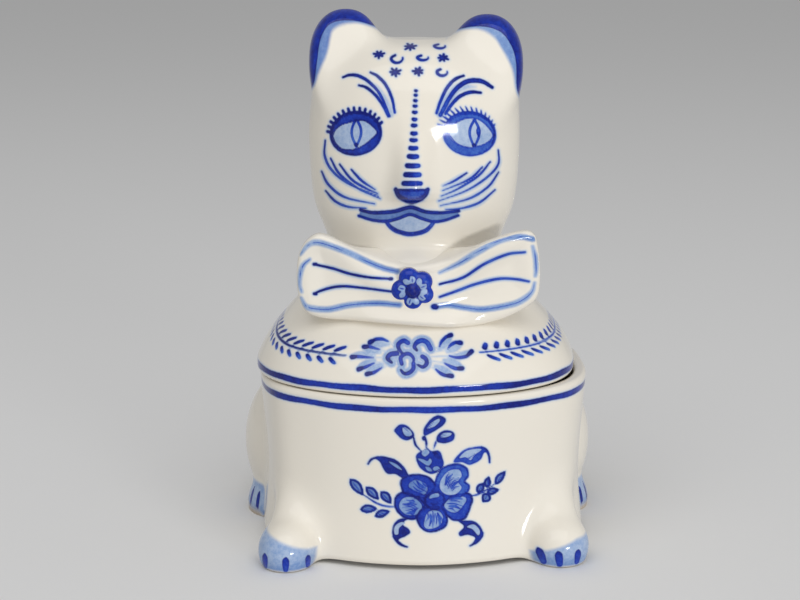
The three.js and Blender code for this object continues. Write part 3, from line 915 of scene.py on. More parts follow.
def paint_forehead(p):
    """Five stars and four crescents."""
    for x, w, wide in ((-11.5, 152.2, 1.7), (-1.7, 154.9, 1.9), (8.7, 151, 1.7), (-6.2, 146, 1.8),
                       (1, 146.2, 1.7)):
        for k in range(7):
            a = k * math.tau / 7 + x * 0.37
            long = wide * (1.0 if k % 2 else 0.82)
            p.brush([(x, w), (x + long * math.cos(a), w + 0.78 * long * math.sin(a))], 0.95, 0.85, (1, 0.8))
    for x, w, wide, high in ((-5.7, 150.6, 1.8, 1.5), (7.7, 155.3, 1.7, 0.9), (2.4, 150.9, 1.7, 0.9),
                             (8.5, 146.1, 1.6, 1.2)):
        start = oval(x, w, 0.55 * wide, high, [130])
        hook = start + oval(x, w, wide, high, [165, 200, 240, 275, 310, 345, 372])
        p.brush(hook, 1, (0.9, 0.6), (0.9, 0.5))


def paint_brows(p):
    brows = [
        ([(-22.8, 145), (-20.5, 145.6), (-17.5, 145), (-14, 142.6), (-10.8, 138.8), (-7.8, 132)], 1.1),
        ([(-14, 146.1), (-11.5, 144.6), (-8.8, 141.4), (-7, 137.2), (-6.2, 133.1)], 1),
        ([(-17.6, 142), (-15.2, 141.2), (-12.2, 138.6), (-9.8, 135.2), (-8.2, 131.9)], 1),
        ([(24.2, 142), (21, 143.7), (17, 143.6), (13.6, 141.5), (10.9, 138), (8, 132.4)], 1.6),
        ([(15.2, 145.2), (12.4, 143.8), (9.9, 140.8), (8, 136.6), (6.8, 133)], 1.1),
        ([(20.6, 140), (17.6, 140), (14.4, 138.7), (11.8, 136.2), (9.6, 132.9)], 1.2),
    ]
    p.wash([(-15.5, 143), (-11.6, 140.6), (-8.4, 135.6), (-7.2, 132.4)], 1.6, (0, 0.2), (0.2, 0.8), 1.3)
    p.wash([(19, 141.8), (13.8, 141.2), (10.6, 137.8), (8, 132.6)], 2.6, (0, 0.3), (0.2, 0.8), 1.3)
    for points, width in brows:
        p.brush(points, width, (1, 0.45), (0.75, 0.8))


def paint_eye(p, x, w, right):
    """A ringed almond eye with a slit pupil and short lashes. The right one is thinner and paler."""
    openings = (
        [(-26, 126.4), (-25, 128.4), (-22.9, 129.8), (-20.5, 130.4), (-18, 130.9), (-15.6, 130.7),
         (-13.3, 129.1), (-11.7, 127), (-13.7, 124.9), (-16.4, 123), (-19.5, 122), (-22.8, 122.3),
         (-25, 124.2)],
        [(10.6, 126.6), (12.6, 129.8), (15.4, 131.4), (17.8, 131.8), (20.6, 131.2), (23.2, 129),
         (24.6, 126.7), (22.8, 124.5), (19.9, 123.2), (16.9, 122.7), (13.2, 123.8)],
    )
    opening = openings[right]

    def ring(share, degrees):
        return oval(x, w, 8.5 * share, 7.0 * share, degrees)

    p.fill(ring(1, range(0, 360, 20)), 0.25 if right else 0.7)
    p.brush(ring(0.92, range(200, -30, -15)), 1.1, (0.4, 0.85) if right else (1.1, 1))
    p.brush(ring(0.94, range(190, 351, 16)), 0.9, (0.2, 0.6) if right else (1, 0.9))
    p.lift(opening, 0.12 if right else 0.18)
    p.brush([*opening, opening[0]], 0.5, 0.3 if right else 0.75, (0.9, 0.9))
    slit = x + 0.3 + 1.2 * right
    p.wash([(slit - 4.6, w - 0.6), (slit - 3.6, w + 1.2), (slit - 3.4, w - 1.6)], 1.6, 0.4)
    p.wash([(slit + 3.4, w + 1.4), (slit + 4, w - 0.6)], 1.4, 0.35)
    for side in (-1, 1):
        edge = [(slit, w + 4.4), (slit + side * 1.3, w + 1.8), (slit + side * 1.4, w - 0.8), (slit, w - 4.2)]
        p.brush(edge, 0.95, (0.5, 0.15), (0.9, 0.9))
    if right:
        p.brush([(slit + 1.3, w + 1.8), (slit + 1.2, w - 0.6)], 1.5, 0.5)
    p.brush([(slit - 0.4, w - 3.6), (slit + 0.4, w - 3.6)], 1.3, 0.9)
    slant, long, width, tone, tip = (0.45, 1.9, 0.6, 0.45, 0.5) if right else (0.1, 1.45, 1, 0.9, 0.95)
    for a in np.radians(np.linspace(174, 22, 14 + 2 * right)):
        root = (x + 7.9 * math.cos(a), w + 6.5 * math.sin(a))
        end = (root[0] + long * (math.cos(a) * 0.85 - slant), root[1] + long * (math.sin(a) * 0.75 + 0.2))
        p.brush([root, end], width, tone, (1, tip))


def paint_nose(p):
    """Bars down the ridge, each w, wide and high, and the tip."""
    bars = [(139.9, 1.4, 1), (138.5, 1.5, 1), (136.8, 1.7, 1.1), (135.1, 1.8, 1.1), (133.1, 2, 1.2),
            (130.9, 2.1, 1.25), (129, 2.3, 1.3), (126.5, 2.6, 1.4), (124.4, 2.8, 1.4), (121.9, 3.4, 1.5),
            (119.3, 4.1, 1.7), (116.4, 5.1, 1.7), (113.6, 6, 1.8), (110.9, 6.9, 1.7)]
    for k, (w, wide, high) in enumerate(bars):
        x = mix(0.4, -0.6, k / 13)
        half = (wide - high) / 2
        p.brush([(x - half, w + 0.05), (x, w - 0.05), (x + half, w + 0.05)], high, (0.95, 0.5), (0.95, 0.85))
    p.fill([(-6.2, 109.6), (-4.4, 109.2), (-0.9, 109.3), (2.6, 109.2), (4.6, 109.8), (4.4, 107.8),
            (2.6, 105.9), (-0.8, 104.9), (-4.1, 105.9), (-5.9, 107.8)], 0.45)
    p.brush([(-5.8, 109.2), (-4.6, 107), (-0.8, 105.5), (3, 107), (4.2, 109.2)], 1.4, (1, 0.9), (1, 0.9))
    p.brush([(-5.6, 109), (-0.8, 108.8), (4.2, 109)], 0.8, 0.9, (1, 1))


def paint_whiskers(p):
    left = [
        [(-28.6, 125.4), (-28.8, 120.5), (-26.2, 115.6), (-20.5, 111.2), (-11.4, 107.4)],
        [(-26.8, 119.6), (-23.9, 114.6), (-18, 110), (-10.8, 106.6)],
        [(-23.8, 117.6), (-20, 112.8), (-15.4, 109.9), (-11.6, 108.2)],
        [(-20, 115.8), (-16.6, 112.2), (-12.4, 109.4)],
        [(-30, 115.8), (-27.6, 111.4), (-22.2, 107.3), (-12.6, 105)],
        [(-28.7, 109.6), (-25.5, 106.2), (-21.2, 104.3), (-15.4, 103.7)],
    ]
    right = [
        [(26.4, 122.4), (26.4, 118), (22.8, 113.7), (16.4, 109.4), (7.6, 105.9)],
        [(23.8, 118.6), (20, 114), (13.6, 109.8), (8.4, 107.4)],
        [(21.3, 116.8), (17.2, 112.9), (8.8, 109.1)],
        [(16.4, 114.8), (12.4, 112.2), (9, 110.6)],
        [(26.6, 115.6), (23.2, 110.8), (17.2, 106.9), (8.2, 104.5)],
        [(25.5, 110), (20.8, 106), (15.6, 104), (9.8, 103.3)],
    ]
    for whiskers, width, tone in ((left, 0.9, (0.7, 0.05)), (right, 0.8, (0.55, 0))):
        for points in whiskers:
            p.wash(points, 1.7, 0, (0.3, 0.6))
            p.brush(points, width, tone, (0.7, 0.5))


def paint_mouth(p):
    upper = [(-17.2, 103.2), (-13, 102.3), (-6.6, 102.6), (-1.2, 103.9), (3.3, 102.6), (8.2, 102.3),
             (14, 103)]
    lower = [(-17.8, 101.4), (-13.1, 100), (-8.6, 99.7), (-5.1, 100.5), (-1.4, 101.7), (2.3, 100.5),
             (5.8, 99.6), (9.7, 100.1), (13.8, 101.6)]
    lip = [(-9.2, 99.7), (-7.6, 97.9), (-5.2, 96.5), (-1.4, 95.7), (2.8, 96.5), (4.8, 97.9), (6.2, 99.6)]
    p.fill([*upper, *lower[::-1]], 0.75, "wash", smooth=False)
    p.fill([*lip, (2.3, 100.3), (-1.4, 101.4), (-5.1, 100.3)], 0.12, "wash", smooth=False)
    p.wash([(-4, 99.4), (-1.4, 99), (0.6, 98.2)], 1.6, 0.45)
    p.brush(upper, 1.3, (0.95, 0.8), (0.8, 0.8))
    p.brush(lower, 1.15, 0.7, (0.8, 0.8))
    p.brush(lip, 1.5, 0.5, (0.8, 0.8))
    p.brush(lip[1:-1], 0.5, 0.9)


def paint_ears(p, where):
    """Cobalt over the backs and rims of the ears, fading to ivory inside them."""
    left = [(-8.4, 163.4), (-10.5, 165.2), (-13.6, 167), (-18.6, 168.6), (-24.6, 168.7), (-28.4, 166.9),
            (-30.5, 162.6), (-31.4, 156), (-32.4, 149.5), (-35, 145.5)]
    right = [(8, 162.4), (10.4, 164.3), (15.4, 166.5), (21.8, 167), (27.2, 165.2), (30.6, 160.7),
             (31.9, 155.5), (32.2, 148), (34.5, 142.5)]
    for (side, lift), edge, tone in zip(EAR_LIFTS, (left, right), (0.7, 0.5)):
        curve = spline(edge, 60)
        p.lay_out(p.x, p.z, where & (p.z > 136) & (p.x * side > 3))
        outside = [(side * 44, curve[-1][1]), (side * 44, 182), (curve[0][0] - side * 0.6, 182)]
        index, away = p.loop([*curve, *outside], smooth=False)
        x, y, z = p.x[index], p.y[index], p.z[index]
        away = np.maximum(away, ear_distance((x, y, z), side, lift) - 1.9)
        p.lay("line", index, away, 0.85)
        corner = 0.2 + 2.9 * np.exp(-((x - side * 28) ** 2 + (z - 161) ** 2) / 60)
        p.lay("wash", index, away - corner, tone, 1.3)


# ---- Lid and box ----

def paint_flower(p):
    """The lid's flower: leaves on both sides of a knot of comma strokes."""
    commas = [
        ([(-1.7, 61.4), (-3.1, 62.1), (-4.7, 61), (-4.5, 59.6), (-3.6, 58.4)], 1.5, (0.4, 0.8)),
        ([(5.4, 59.6), (4.3, 61.5), (2.7, 62.2), (1, 61.5), (0.3, 60.2), (1.1, 59.2)], 1.6, (0.3, 0.9)),
        ([(-5.1, 58.2), (-7, 57.9), (-8, 56.7), (-6.7, 55.4)], 1.6, (0.7, 0.9)),
        ([(-3.5, 55), (-3.9, 56.8), (-2.6, 58), (-1.1, 58), (0.1, 56.8), (0.1, 55.4)], 1.3, (0.6, 0.5)),
        ([(0.1, 55.2), (0.1, 53.6), (-1.1, 52.4), (-2.7, 52.1), (-3.8, 53.2)], 1.4, (0.5, 0.9)),
        ([(2.8, 57.3), (3.9, 56.6), (4.2, 55.2), (3.1, 54.1), (1.5, 54.7)], 1.4, (0.7, 0.9)),
    ]
    leaves = [
        [(-13.7, 61.5), (-11.8, 62.4), (-9.8, 62.5), (-7.9, 61.8)],
        [(-15.5, 60.1), (-13.6, 60.1), (-10.5, 59.3)],
        [(-19.2, 56.9), (-17.4, 57.1), (-12.4, 56.8)],
        [(-17, 53.2), (-14.9, 53.9), (-12.1, 55.2)],
        [(-14.3, 51.8), (-12.2, 52.3), (-9.6, 53.9)],
        [(11.7, 63.9), (10.1, 63.2), (8.7, 61.7), (8.1, 60.2)],
        [(14.8, 61.5), (13.2, 61.6), (11.6, 60.8), (10.7, 59.6)],
        [(18.2, 58.9), (16.4, 57.4), (13.6, 57), (11.2, 57.5)],
        [(15.2, 53.7), (13.2, 53.7), (11.4, 54.4), (9.7, 55.3)],
        [(12, 51.4), (9.9, 51.6), (8.3, 52.4), (7, 53.5)],
    ]
    middle = np.array([-0.5, 57.0])
    for points in leaves:
        start, end = np.array(points[0]), np.array(points[-1])
        lean = np.array([0, -0.7 if start[1] > 58 else 0.8])
        under = [start + lean * 0.3, (start + end) / 2 + lean, end + lean]
        p.wash(under, 2.4, (0.35, 0.1), (0.5, 0.6), 2.2)
        p.wash([end, mix(end, middle, 0.35), mix(end, middle, 0.6)], 0.5, 0, (1, 0.5), 2)
        p.brush([start, mix(start, points[1], 0.6)], 1.5, 1, (1, 0.8))
        p.brush(points, 1.15, (0.8, 0.15), (1, 0.5))
    for points, width, tone in commas:
        p.wash(points, width + 1.9, 0.28, (0.9, 0.9), 2)
    for points, width, tone in commas:
        p.brush(points, width, tone, (1, 0.6))


def paint_branch(p, side, end):
    """A leafy branch along the shoulder, from the front flower round to the back."""
    left = side < 0
    stop = end - 12

    def rise(s):
        return (4.0 if left else 1.2) * float(ease(38, 72, s)) + (0.0 if left else 1.6)

    # The left branch's stem and leaves are painted darker than the right's: partly its own painting, partly
    # painted shade for the lid's shaded left side.
    stem = [(s, rise(s)) for s in np.linspace(21.2, stop, 16)]
    p.brush(stem, 0.95 if left else 0.75, (0.9, 0.6) if left else (0.1, 0.7), (0.8, 0.5))
    left_leaves = [
        ([(1.4, 1.5), (0, 2.5), (-1.3, 3.2)], 1.5, (0.95, 0.6), (0.8, 0.75)),
        ([(1.9, -1.7), (0.9, -2.6), (-0.1, -3.4)], 1.4, (0.95, 0.05), (0.9, 0.8)),
    ]
    right_leaves = [
        ([(-0.5, 1.5), (0.6, 2.9)], 1.7, (0.95, 0.4), (1, 0.8)),
        ([(-0.3, -1.5), (1.2, -2.6), (2.4, -3.4)], 1.4, (0.9, 0), (0.8, 0.9)),
    ]
    for s in np.arange(23.8, stop, 4.1):
        for points, *stroke in left_leaves if left else right_leaves:
            p.brush(np.array(points) + (s, rise(s)), *stroke)


def waves(angle, *terms):
    """A sum of sine waves, each given by its height, its waves round the piece and where it starts."""
    return sum(high * np.sin(angle * count + start) for high, count, start in terms)


def paint_lid(p, outer):
    p.lay_out(p.x, p.w, outer & (p.y < 0.5))
    paint_forehead(p)
    paint_brows(p)
    paint_eye(p, -18.6, 127, False)
    paint_eye(p, 17.2, 127, True)
    paint_nose(p)
    paint_whiskers(p)
    paint_mouth(p)
    paint_flower(p)
    azimuth = np.arctan2(p.y, p.x)
    angles = np.linspace(-np.pi / 2, np.pi / 2, 400)
    radius = BRANCH_RADIUS * reach(angles, BOX_BOW, LID_DEPTH_RATIO)
    steps = np.hypot(np.diff(radius * np.cos(angles)), np.diff(radius * np.sin(angles)))
    length = np.concatenate([[0], np.cumsum(steps)])
    from_front = np.abs((azimuth + np.pi / 2 + np.pi) % (2 * np.pi) - np.pi)
    around = np.interp(from_front - np.pi / 2, angles, length)
    for side in (-1, 1):
        shoulder = outer & (p.z > 60) & (p.z < 78) & (p.x * side > -1)
        p.lay_out(around, (p.z - BRANCH_HEIGHT) * BRANCH_SLANT, shoulder)
        paint_branch(p, side, length[-1])
    size = plan_size(p.x, p.y, BOX_BOW, LID_DEPTH_RATIO)
    wave = waves(azimuth, (0.1, 9, 0), (0.07, 23, 1))
    band = np.abs(p.z - LID_BAND - wave) - BAND_HALF_WIDTH + waves(azimuth, (0.08, 14, 0))
    p.region("line", outer & (size > 49), band, 0.82 + 0.25 * np.sin(azimuth * 5 + 2) * np.sin(azimuth * 2))
    paint_ears(p, outer)
    p.bare = np.where(outer, 0, ease(LID_EDGE + 0.4, LID_EDGE, p.z))


def paint_paws(p, outer):
    """A wash over each paw, and its claws."""
    (left, right), hind = FRONT_PAWS, HIND_PAW["radii"]
    paws = [(left, p.z - 9.7 + 0.36 * (p.x + 46)), (right, p.z - 9.4 - 0.35 * (p.x - 46) * (p.x < 46))]
    for side in (-1, 1):
        paws.append((((side * HIND_PAW["x"], HIND_PAW["y"], 0), hind), p.z - 10.5))
    for paw, above in paws:
        body = ball((p.x, p.y, p.z), *paw) - 1.3
        away = np.maximum(np.maximum(above, body), 0.7 - p.z)
        p.region("wash", outer, away, 0.22 + 0.3 * ease(6, 0, p.z), 1.3)
    claws = [(-52.4, -4.4, -52.3, -8.7, 1.8), (-45.8, -5.4, -45.9, -9.3, 2.3),
             (-38.8, -5.2, -38.9, -8.8, 1.8), (33.9, -4.3, 35.7, -8.6, 2.4),
             (39.8, -5.1, 40.5, -9.2, 2.6), (46.4, -4.8, 46.1, -8.7, 2.3)]
    for x, w, x_low, w_low, width in claws:
        middle = (mix(x, x_low, 0.5), mix(w, w_low, 0.5))
        p.brush([(x, w), middle, (x_low, w_low)], width, (0.8, 0.5), (0.35, 0.75))
    for side in (-1, 1):
        out, back = p.x * side - HIND_PAW["x"], p.y - HIND_PAW["y"]
        toes = outer & (ball((out, back, p.z), (0, 0, 0), hind) < 1) & (p.z < 11)
        p.lay_out(np.degrees(np.arctan2(back / hind[1], out / hind[0])) / 6, p.z, toes)
        for angle in (-78, -52, -26):
            p.brush([(angle / 6, 8.4), (angle / 6, 5), (angle / 6, 1.6)], 1.7, 0.8, (0.35, 0.75))


def paint_box(p, outer):
    p.lay_out(p.x, p.w, outer & (p.y < -25))
    paint_bouquet(p)
    azimuth = np.arctan2(p.y, p.x)
    wave = waves(azimuth, (0.1, 8, 2), (0.07, 21, 0))
    band = np.abs(p.z - BOX_BAND - wave) - BAND_HALF_WIDTH + waves(azimuth, (0.08, 13, 0))
    p.region("line", outer & (p.z > 45), band, 0.8 + 0.27 * np.sin(azimuth * 5 + 3) * np.sin(azimuth * 2 + 1))
    paint_paws(p, outer)
    p.bare = np.where(outer, ease(0.25, 0.05, p.z), 0)


# ---- Bouquet on the box's front ----

def paint_buds(p):
    """Three stems with a bud each, and the round bud that they grow from."""
    p.brush([(-5.8, 32.3), (-5.1, 29.8), (-3.3, 27.7)], 0.7, 0.8)
    p.brush([(-2.3, 32.4), (-1.8, 30.4), (-1.8, 28.6)], 0.75, 0.75)
    p.brush([(1.3, 30.9), (0.9, 29.8), (0.5, 28.6)], 0.6, 0.45)
    buds = [
        ([(-11.7, 34.5), (-10.2, 36.2), (-8, 36), (-6.1, 34.2), (-5.6, 32.4), (-7.6, 31.3), (-9.6, 31.9),
          (-11.2, 33.5)],
         [(-8.9, 35.5), (-6.9, 34.4), (-6.3, 33), (-8, 32.7), (-9, 34)]),
        ([(-2.5, 32.8), (-2.7, 34.6), (-1.5, 36.8), (0.4, 38.6), (2.2, 39.1), (4.1, 38), (3.8, 36.4),
          (1.6, 34.6), (-1.4, 33)],
         [(-1.7, 34.9), (0, 36.9), (2, 38), (2.2, 37.2), (0.6, 35.6)]),
        ([(1.3, 31.2), (1.9, 33.2), (4, 34.3), (6.3, 33.9), (7.1, 32.7), (6.5, 31.1), (4.3, 30.2),
          (2.2, 30.4)],
         [(2.5, 32.3), (3.7, 33.4), (5.9, 33.4), (5.6, 32.6), (3.4, 32)]),
    ]
    for outline, light in buds:
        p.fill(outline, 0.75)
        p.lift(light, 0.25)
        p.brush([light[0], mix(np.array(light[0]), np.array(light[2]), 0.6)], 0.35, 0.3)
    p.brush([(-2.6, 32.2), (-2.4, 31.3)], 1.3, 0.9)
    p.fill([(-5, 25.7), (-4.3, 27.2), (-2.8, 28), (-1.5, 28.8), (-0.3, 27.8), (2.2, 27.8), (3.3, 25.6),
            (3.6, 23), (1.6, 20.9), (-0.9, 20.6), (-3.8, 22.6)], 0.7)
    p.lift([(-3.2, 27.2), (-1.7, 28.3), (-0.8, 27.3), (-2.2, 26.1)], 0.4)
    p.lift([(-4.4, 25.4), (-2.7, 25.1), (-1.4, 24.5), (-0.6, 25.4), (-0.1, 24.4), (-1.2, 23.2),
            (-3, 24.2)], 0.45)
    p.lift([(0.4, 22.4), (1.6, 22.9), (2.4, 22.2), (0.8, 21.5)], 0.5)
    p.lift([(-2, 22.8), (-0.6, 22.4), (0, 21.4), (-1.4, 21.6)], 0.6)
    p.brush([(0.6, 27.4), (1.6, 26.2), (2.8, 25.4)], 1.3, 1)


def paint_leaves(p):
    """Broad leaves: each outline and its light, how dark these are, and strokes on it."""
    leaves = [
        ([(-19.7, 23.9), (-18.5, 25.5), (-16.4, 26.2), (-13.9, 26), (-11.1, 25), (-8.7, 22.8), (-7.3, 20),
          (-9.3, 19.4), (-11.4, 20.5), (-13.8, 20.6), (-15.2, 22.4), (-16.2, 24.4), (-17.8, 25.3)],
         [(-13.4, 24.5), (-11, 23.6), (-9.3, 21.8), (-11.4, 22.8)], 0.9, 0.5,
         [([(-19.8, 23.7), (-18.7, 25.2), (-16.8, 25.9)], 0.75, 0.9, (0.8, 1))]),
        ([(6.8, 24.1), (8.2, 26.4), (10.7, 28.2), (13.8, 28.8), (16.2, 28.7), (17.7, 27), (18.2, 23.8),
          (17.3, 26.6), (16.4, 26.6), (15.2, 24.5), (12, 23.1), (9.5, 24)],
         [(8.6, 25.4), (10.8, 27.5), (14, 28.1), (15.6, 27.8), (13.4, 26.2), (12.2, 24.6), (10.6, 25.6)],
         0.4, 0.2,
         [([(9.6, 24.8), (11.6, 25.2), (13.4, 26.6)], 0.5, 0.2),
          ([(18.3, 23.6), (18.1, 25.6), (17.2, 27.7), (15.6, 28.6)], 0.75, 0.7, (0.8, 1))]),
        ([(-6.5, 6.3), (-9.8, 6.2), (-11.8, 4.5), (-12.4, 1.7), (-11.5, -0.7), (-9.6, -2.3), (-7.7, -2.8),
          (-9.4, -1.6), (-10.3, -0.5), (-8, 0.7), (-6.7, 1.8), (-7.4, 3.1), (-8.9, 4.2), (-8.3, 5.5)],
         [(-11.6, 1.3), (-11.5, 3.6), (-9.8, 5), (-8.6, 4.8), (-10.2, 3.2), (-10.5, 1.3)], 0.9, 0.25,
         [([(-11.9, 0.6), (-10.8, -1.2), (-9.3, -2.3), (-7.7, -2.8)], 0.8, 0.9, (1, 0.7))]),
        ([(7.7, 5.7), (10.3, 5.3), (13.5, 4.9), (15.8, 2.7), (16.5, 0.1), (14.7, -1.7), (12.2, -2.9),
          (13.4, -1.5), (13.7, -0.3), (11.5, 0.6), (9.1, 0.3), (8.6, 1.4), (10.2, 3.2), (9, 4.6)],
         [(11.2, 3.2), (13.5, 3.8), (15.3, 1.8), (14.8, 0.4), (13, 2.4)], 0.85, 0.25,
         [([(10.2, 3.4), (11, 2), (10.4, 1.2)], 0.5, 0.2),
          ([(16.2, 1), (15.6, -0.6), (14.2, -2), (12.2, -2.9)], 0.8, 0.85, (1, 0.7))]),
    ]
    for outline, light, tone, wash, strokes in leaves:
        p.fill(outline, tone)
        p.lift(light, wash)
        for stroke in strokes:
            p.brush(*stroke)


def paint_sprigs(p):
    """A stem with small leaves on each side of the flower: each base, tip and width."""
    p.brush([(-11.4, 10), (-14.5, 10.2), (-17.3, 11.2), (-19.8, 12.8), (-22, 14.2)], 0.6, (0.1, 0.8))
    p.brush([(12.8, 13.1), (15, 13.6), (17.9, 15.1), (20.5, 16.9)], 0.6, (0.4, 0.8))
    leaves = [
        ((-25.5, 18.8), (-21.2, 13.5), 3.1), ((-20.5, 16.3), (-16.5, 12.2), 2.9),
        ((-15.9, 14.9), (-12.6, 11), 2.9), ((-22.4, 9), (-16.9, 9.3), 2.8),
        ((-17.8, 6.9), (-13, 8.6), 2.6), ((14.6, 13.8), (16.6, 17.2), 2.7),
        ((17.6, 15.4), (18.1, 19.2), 2.4), ((17.4, 13.7), (21.6, 14.7), 2.4),
        ((18.2, 13.7), (16.2, 10.9), 3.3), ((20.2, 16.4), (23.6, 20.6), 2.6),
    ]
    for leaf in leaves:
        p.leaf(*leaf)


def paint_petals(p):
    """Five hatched petals round a heart. Each has its outline, its light middle, and how dark these are."""
    petals = [
        ([(-8.3, 14.1), (-9.6, 17), (-9.3, 18.7), (-7.4, 19.9), (-4.3, 20.3), (-0.9, 19.3), (0.9, 16.9),
          (-0.5, 14.2), (-2.7, 12.9)],
         [(-7.2, 16.8), (-4.9, 18.6), (-1.6, 16.9), (-2, 14.2), (-4.6, 14.6)], 0.85, 0.62),
        ([(-11.5, 10.8), (-11.1, 13.2), (-9.3, 14.6), (-6.8, 14.1), (-4, 12.6), (-2.2, 10.6), (-3.8, 8),
          (-5.2, 6.2), (-8, 6.4), (-10.4, 8.2)],
         [(-10.1, 10.6), (-8.8, 12.7), (-6.1, 13), (-3.6, 11.2), (-3.2, 9.6), (-5, 7.5), (-7.6, 7.5),
          (-9.5, 8.8)], 0.92, 0.47),
        ([(3.5, 10.8), (5.8, 13), (8.9, 13.7), (11.8, 13.8), (12.9, 11.9), (12.2, 9.5), (11.5, 7.6),
          (10.3, 5.8), (7.1, 5.5), (4.8, 7.2), (3.4, 9.2)],
         [(4, 10.3), (5.8, 12.4), (8.2, 13.1), (10.9, 12.4), (9.9, 10), (7.7, 8), (5.2, 8.6)], 0.8, 0.42),
        ([(0.9, 15.7), (1.6, 19.5), (3.2, 22), (5.7, 23.2), (8.8, 23.2), (11, 21.8), (11.4, 19.5),
          (10.4, 17.8), (11.8, 16.3), (11.2, 14.4), (8.9, 13), (5.1, 13.2), (2.4, 14.6)],
         [(2.7, 15.6), (2.9, 18.4), (5.2, 21.2), (8.4, 21.6), (9.4, 19.6), (8.2, 17.8), (9.4, 15.8),
          (7.6, 13.9), (4.7, 13.8)], 0.5, 0.32),
        ([(-4.7, 6.8), (-3.3, 9), (-0.5, 9.7), (2.6, 9.6), (4.3, 8.2), (4.9, 5.3), (3.9, 3.3), (1, 2.1),
          (-1.8, 2.3), (-3.8, 4.1)],
         [(-2.3, 3.8), (-1.6, 7.5), (0.4, 8.7), (2.7, 8.1), (3.6, 6), (2.2, 3.8), (-0.5, 2.9)], 0.9, 0.42),
    ]
    x, w = 1, 12.0
    p.fill(oval(x, w, 5.4, 5.2), 0.6)
    for outline, light, tone, wash in petals:
        p.fill(outline, 0.68 * tone)
        p.brush([*outline, outline[0], outline[1]], 0.6, 0.35 + 0.65 * tone, (1, 1))
        p.lift(light, wash)
        middle = np.mean(np.array(light), axis=0)
        out = middle - (x, w + 0.1)
        out = out / math.hypot(*out)
        side = np.array([-out[1], out[0]])
        for k, off in enumerate((-2.4, -1.4, -0.5, 0.5, 1.5, 2.4)):
            start = middle + side * off * 0.75 - out * (2.6 - 0.5 * (k % 2) - abs(off) * 0.3)
            end = middle + side * (off * 1.1 + 0.3) + out * (2.7 - abs(off) * 0.5 - 0.8 * (k % 3 == 0))
            bend = mix(start, end, 0.5) + side * 0.35
            tones = (0.1, 0.5) if k % 2 else (0.5, 0.1)
            p.brush([start, bend, end], 0.6 + 0.35 * (k % 3 == 1), tones, (0.6, 0.5))
    p.fill(oval(x, w, 3.1, 3), 0.55)
    p.brush(oval(x, w - 0.1, 3, 2.9, range(0, 361, 30)), 0.7, 1, (1, 1))
    p.brush([(-0.2, 11), (1, 10.6), (2.2, 11.4)], 0.7, 0.9)
    p.lift([(-0.8, 12.6), (0, 13.8), (2, 14.2), (2.2, 13.2), (0.6, 12.9)], 0.45)


def paint_bouquet(p):
    paint_buds(p)
    paint_leaves(p)
    paint_sprigs(p)
    paint_petals(p)


# ---- Bow and rosette ----

def paint_bow(p):
    rim_rings = 3
    front_and_rim = BOW_COLUMNS * BOW_ROWS + rim_rings * 2 * (BOW_COLUMNS + BOW_ROWS - 2)
    p.lay_out(p.x, p.w, np.arange(len(p.x)) < front_and_rim)
    edges = [
        [(-35.9, 89), (-33.4, 91.8), (-30.5, 92.7), (-25.6, 91.4), (-20, 89.3), (-13.9, 86.4), (-9.4, 84.7),
         (-5.2, 83.7)],
        [(-35.8, 75.3), (-34.4, 72.8), (-32, 71.9), (-26.9, 71.7), (-20.1, 73.1), (-11.6, 73.7),
         (-4.5, 73.2)],
        [(8, 83.4), (14.2, 86.4), (19.2, 89.5), (26.4, 93.4), (32.6, 94.8), (37.3, 94.1)],
        [(38, 80.4), (37.2, 77.6), (34.6, 75.2), (30.6, 73.5), (22.1, 72), (16.5, 72.4), (10.9, 73.2),
         (6.1, 72.7)],
    ]
    tips = [
        [(-32.9, 87.4), (-35, 85.6), (-36, 82.8), (-36.3, 79.6), (-35.6, 77.2)],
        [(37.2, 91.8), (38.2, 88), (38.4, 84.6), (38.2, 82.6)],
    ]
    folds = [
        ([(-31.7, 85.9), (-25.7, 84.6), (-20.1, 82.9), (-13.8, 81.8), (-7.6, 81.4)], (1, 0.75)),
        ([(-31.7, 76.6), (-29.4, 77.6), (-26, 78.6), (-22, 79), (-16.1, 78.5), (-7, 77.4)], (0.95, 0.75)),
        ([(8.1, 79.8), (15.3, 81.9), (22, 86.2), (29.3, 89.3), (34.8, 90)], (0.7, 0.15)),
        ([(8.1, 75.8), (13.7, 77.8), (19.3, 79.9), (26.6, 81.6), (32.2, 81.5), (36.2, 80.8)], (0.4, 0.2)),
    ]
    for points in edges:
        p.wash(points, 2, (0.2, 0.55), (0.5, 0.9), 1.9)
        p.brush(points, 0.38, (0, 0.25), (0.3, 0.8))
    for points in tips:
        p.wash(points, 1.7, 0.25, (0.6, 0.6), 1.8)
        p.brush(points, 0.45, 0, (0.6, 0.5))
    for points, tone in folds:
        p.wash(points, 1.6, 0.1, (0.6, 0.6), 2)
        p.brush(points, 0.95, tone, (0.8, 0.8))
    for x, w in ((-31.6, 85.9), (-31.6, 76.6), (-7.6, 81.4)):
        p.brush([(x, w), (x + 0.6, w)], 1.1, 1, (1, 1))
    p.brush([(6, 72.8), (7.6, 72.6)], 1.8, 0.9)


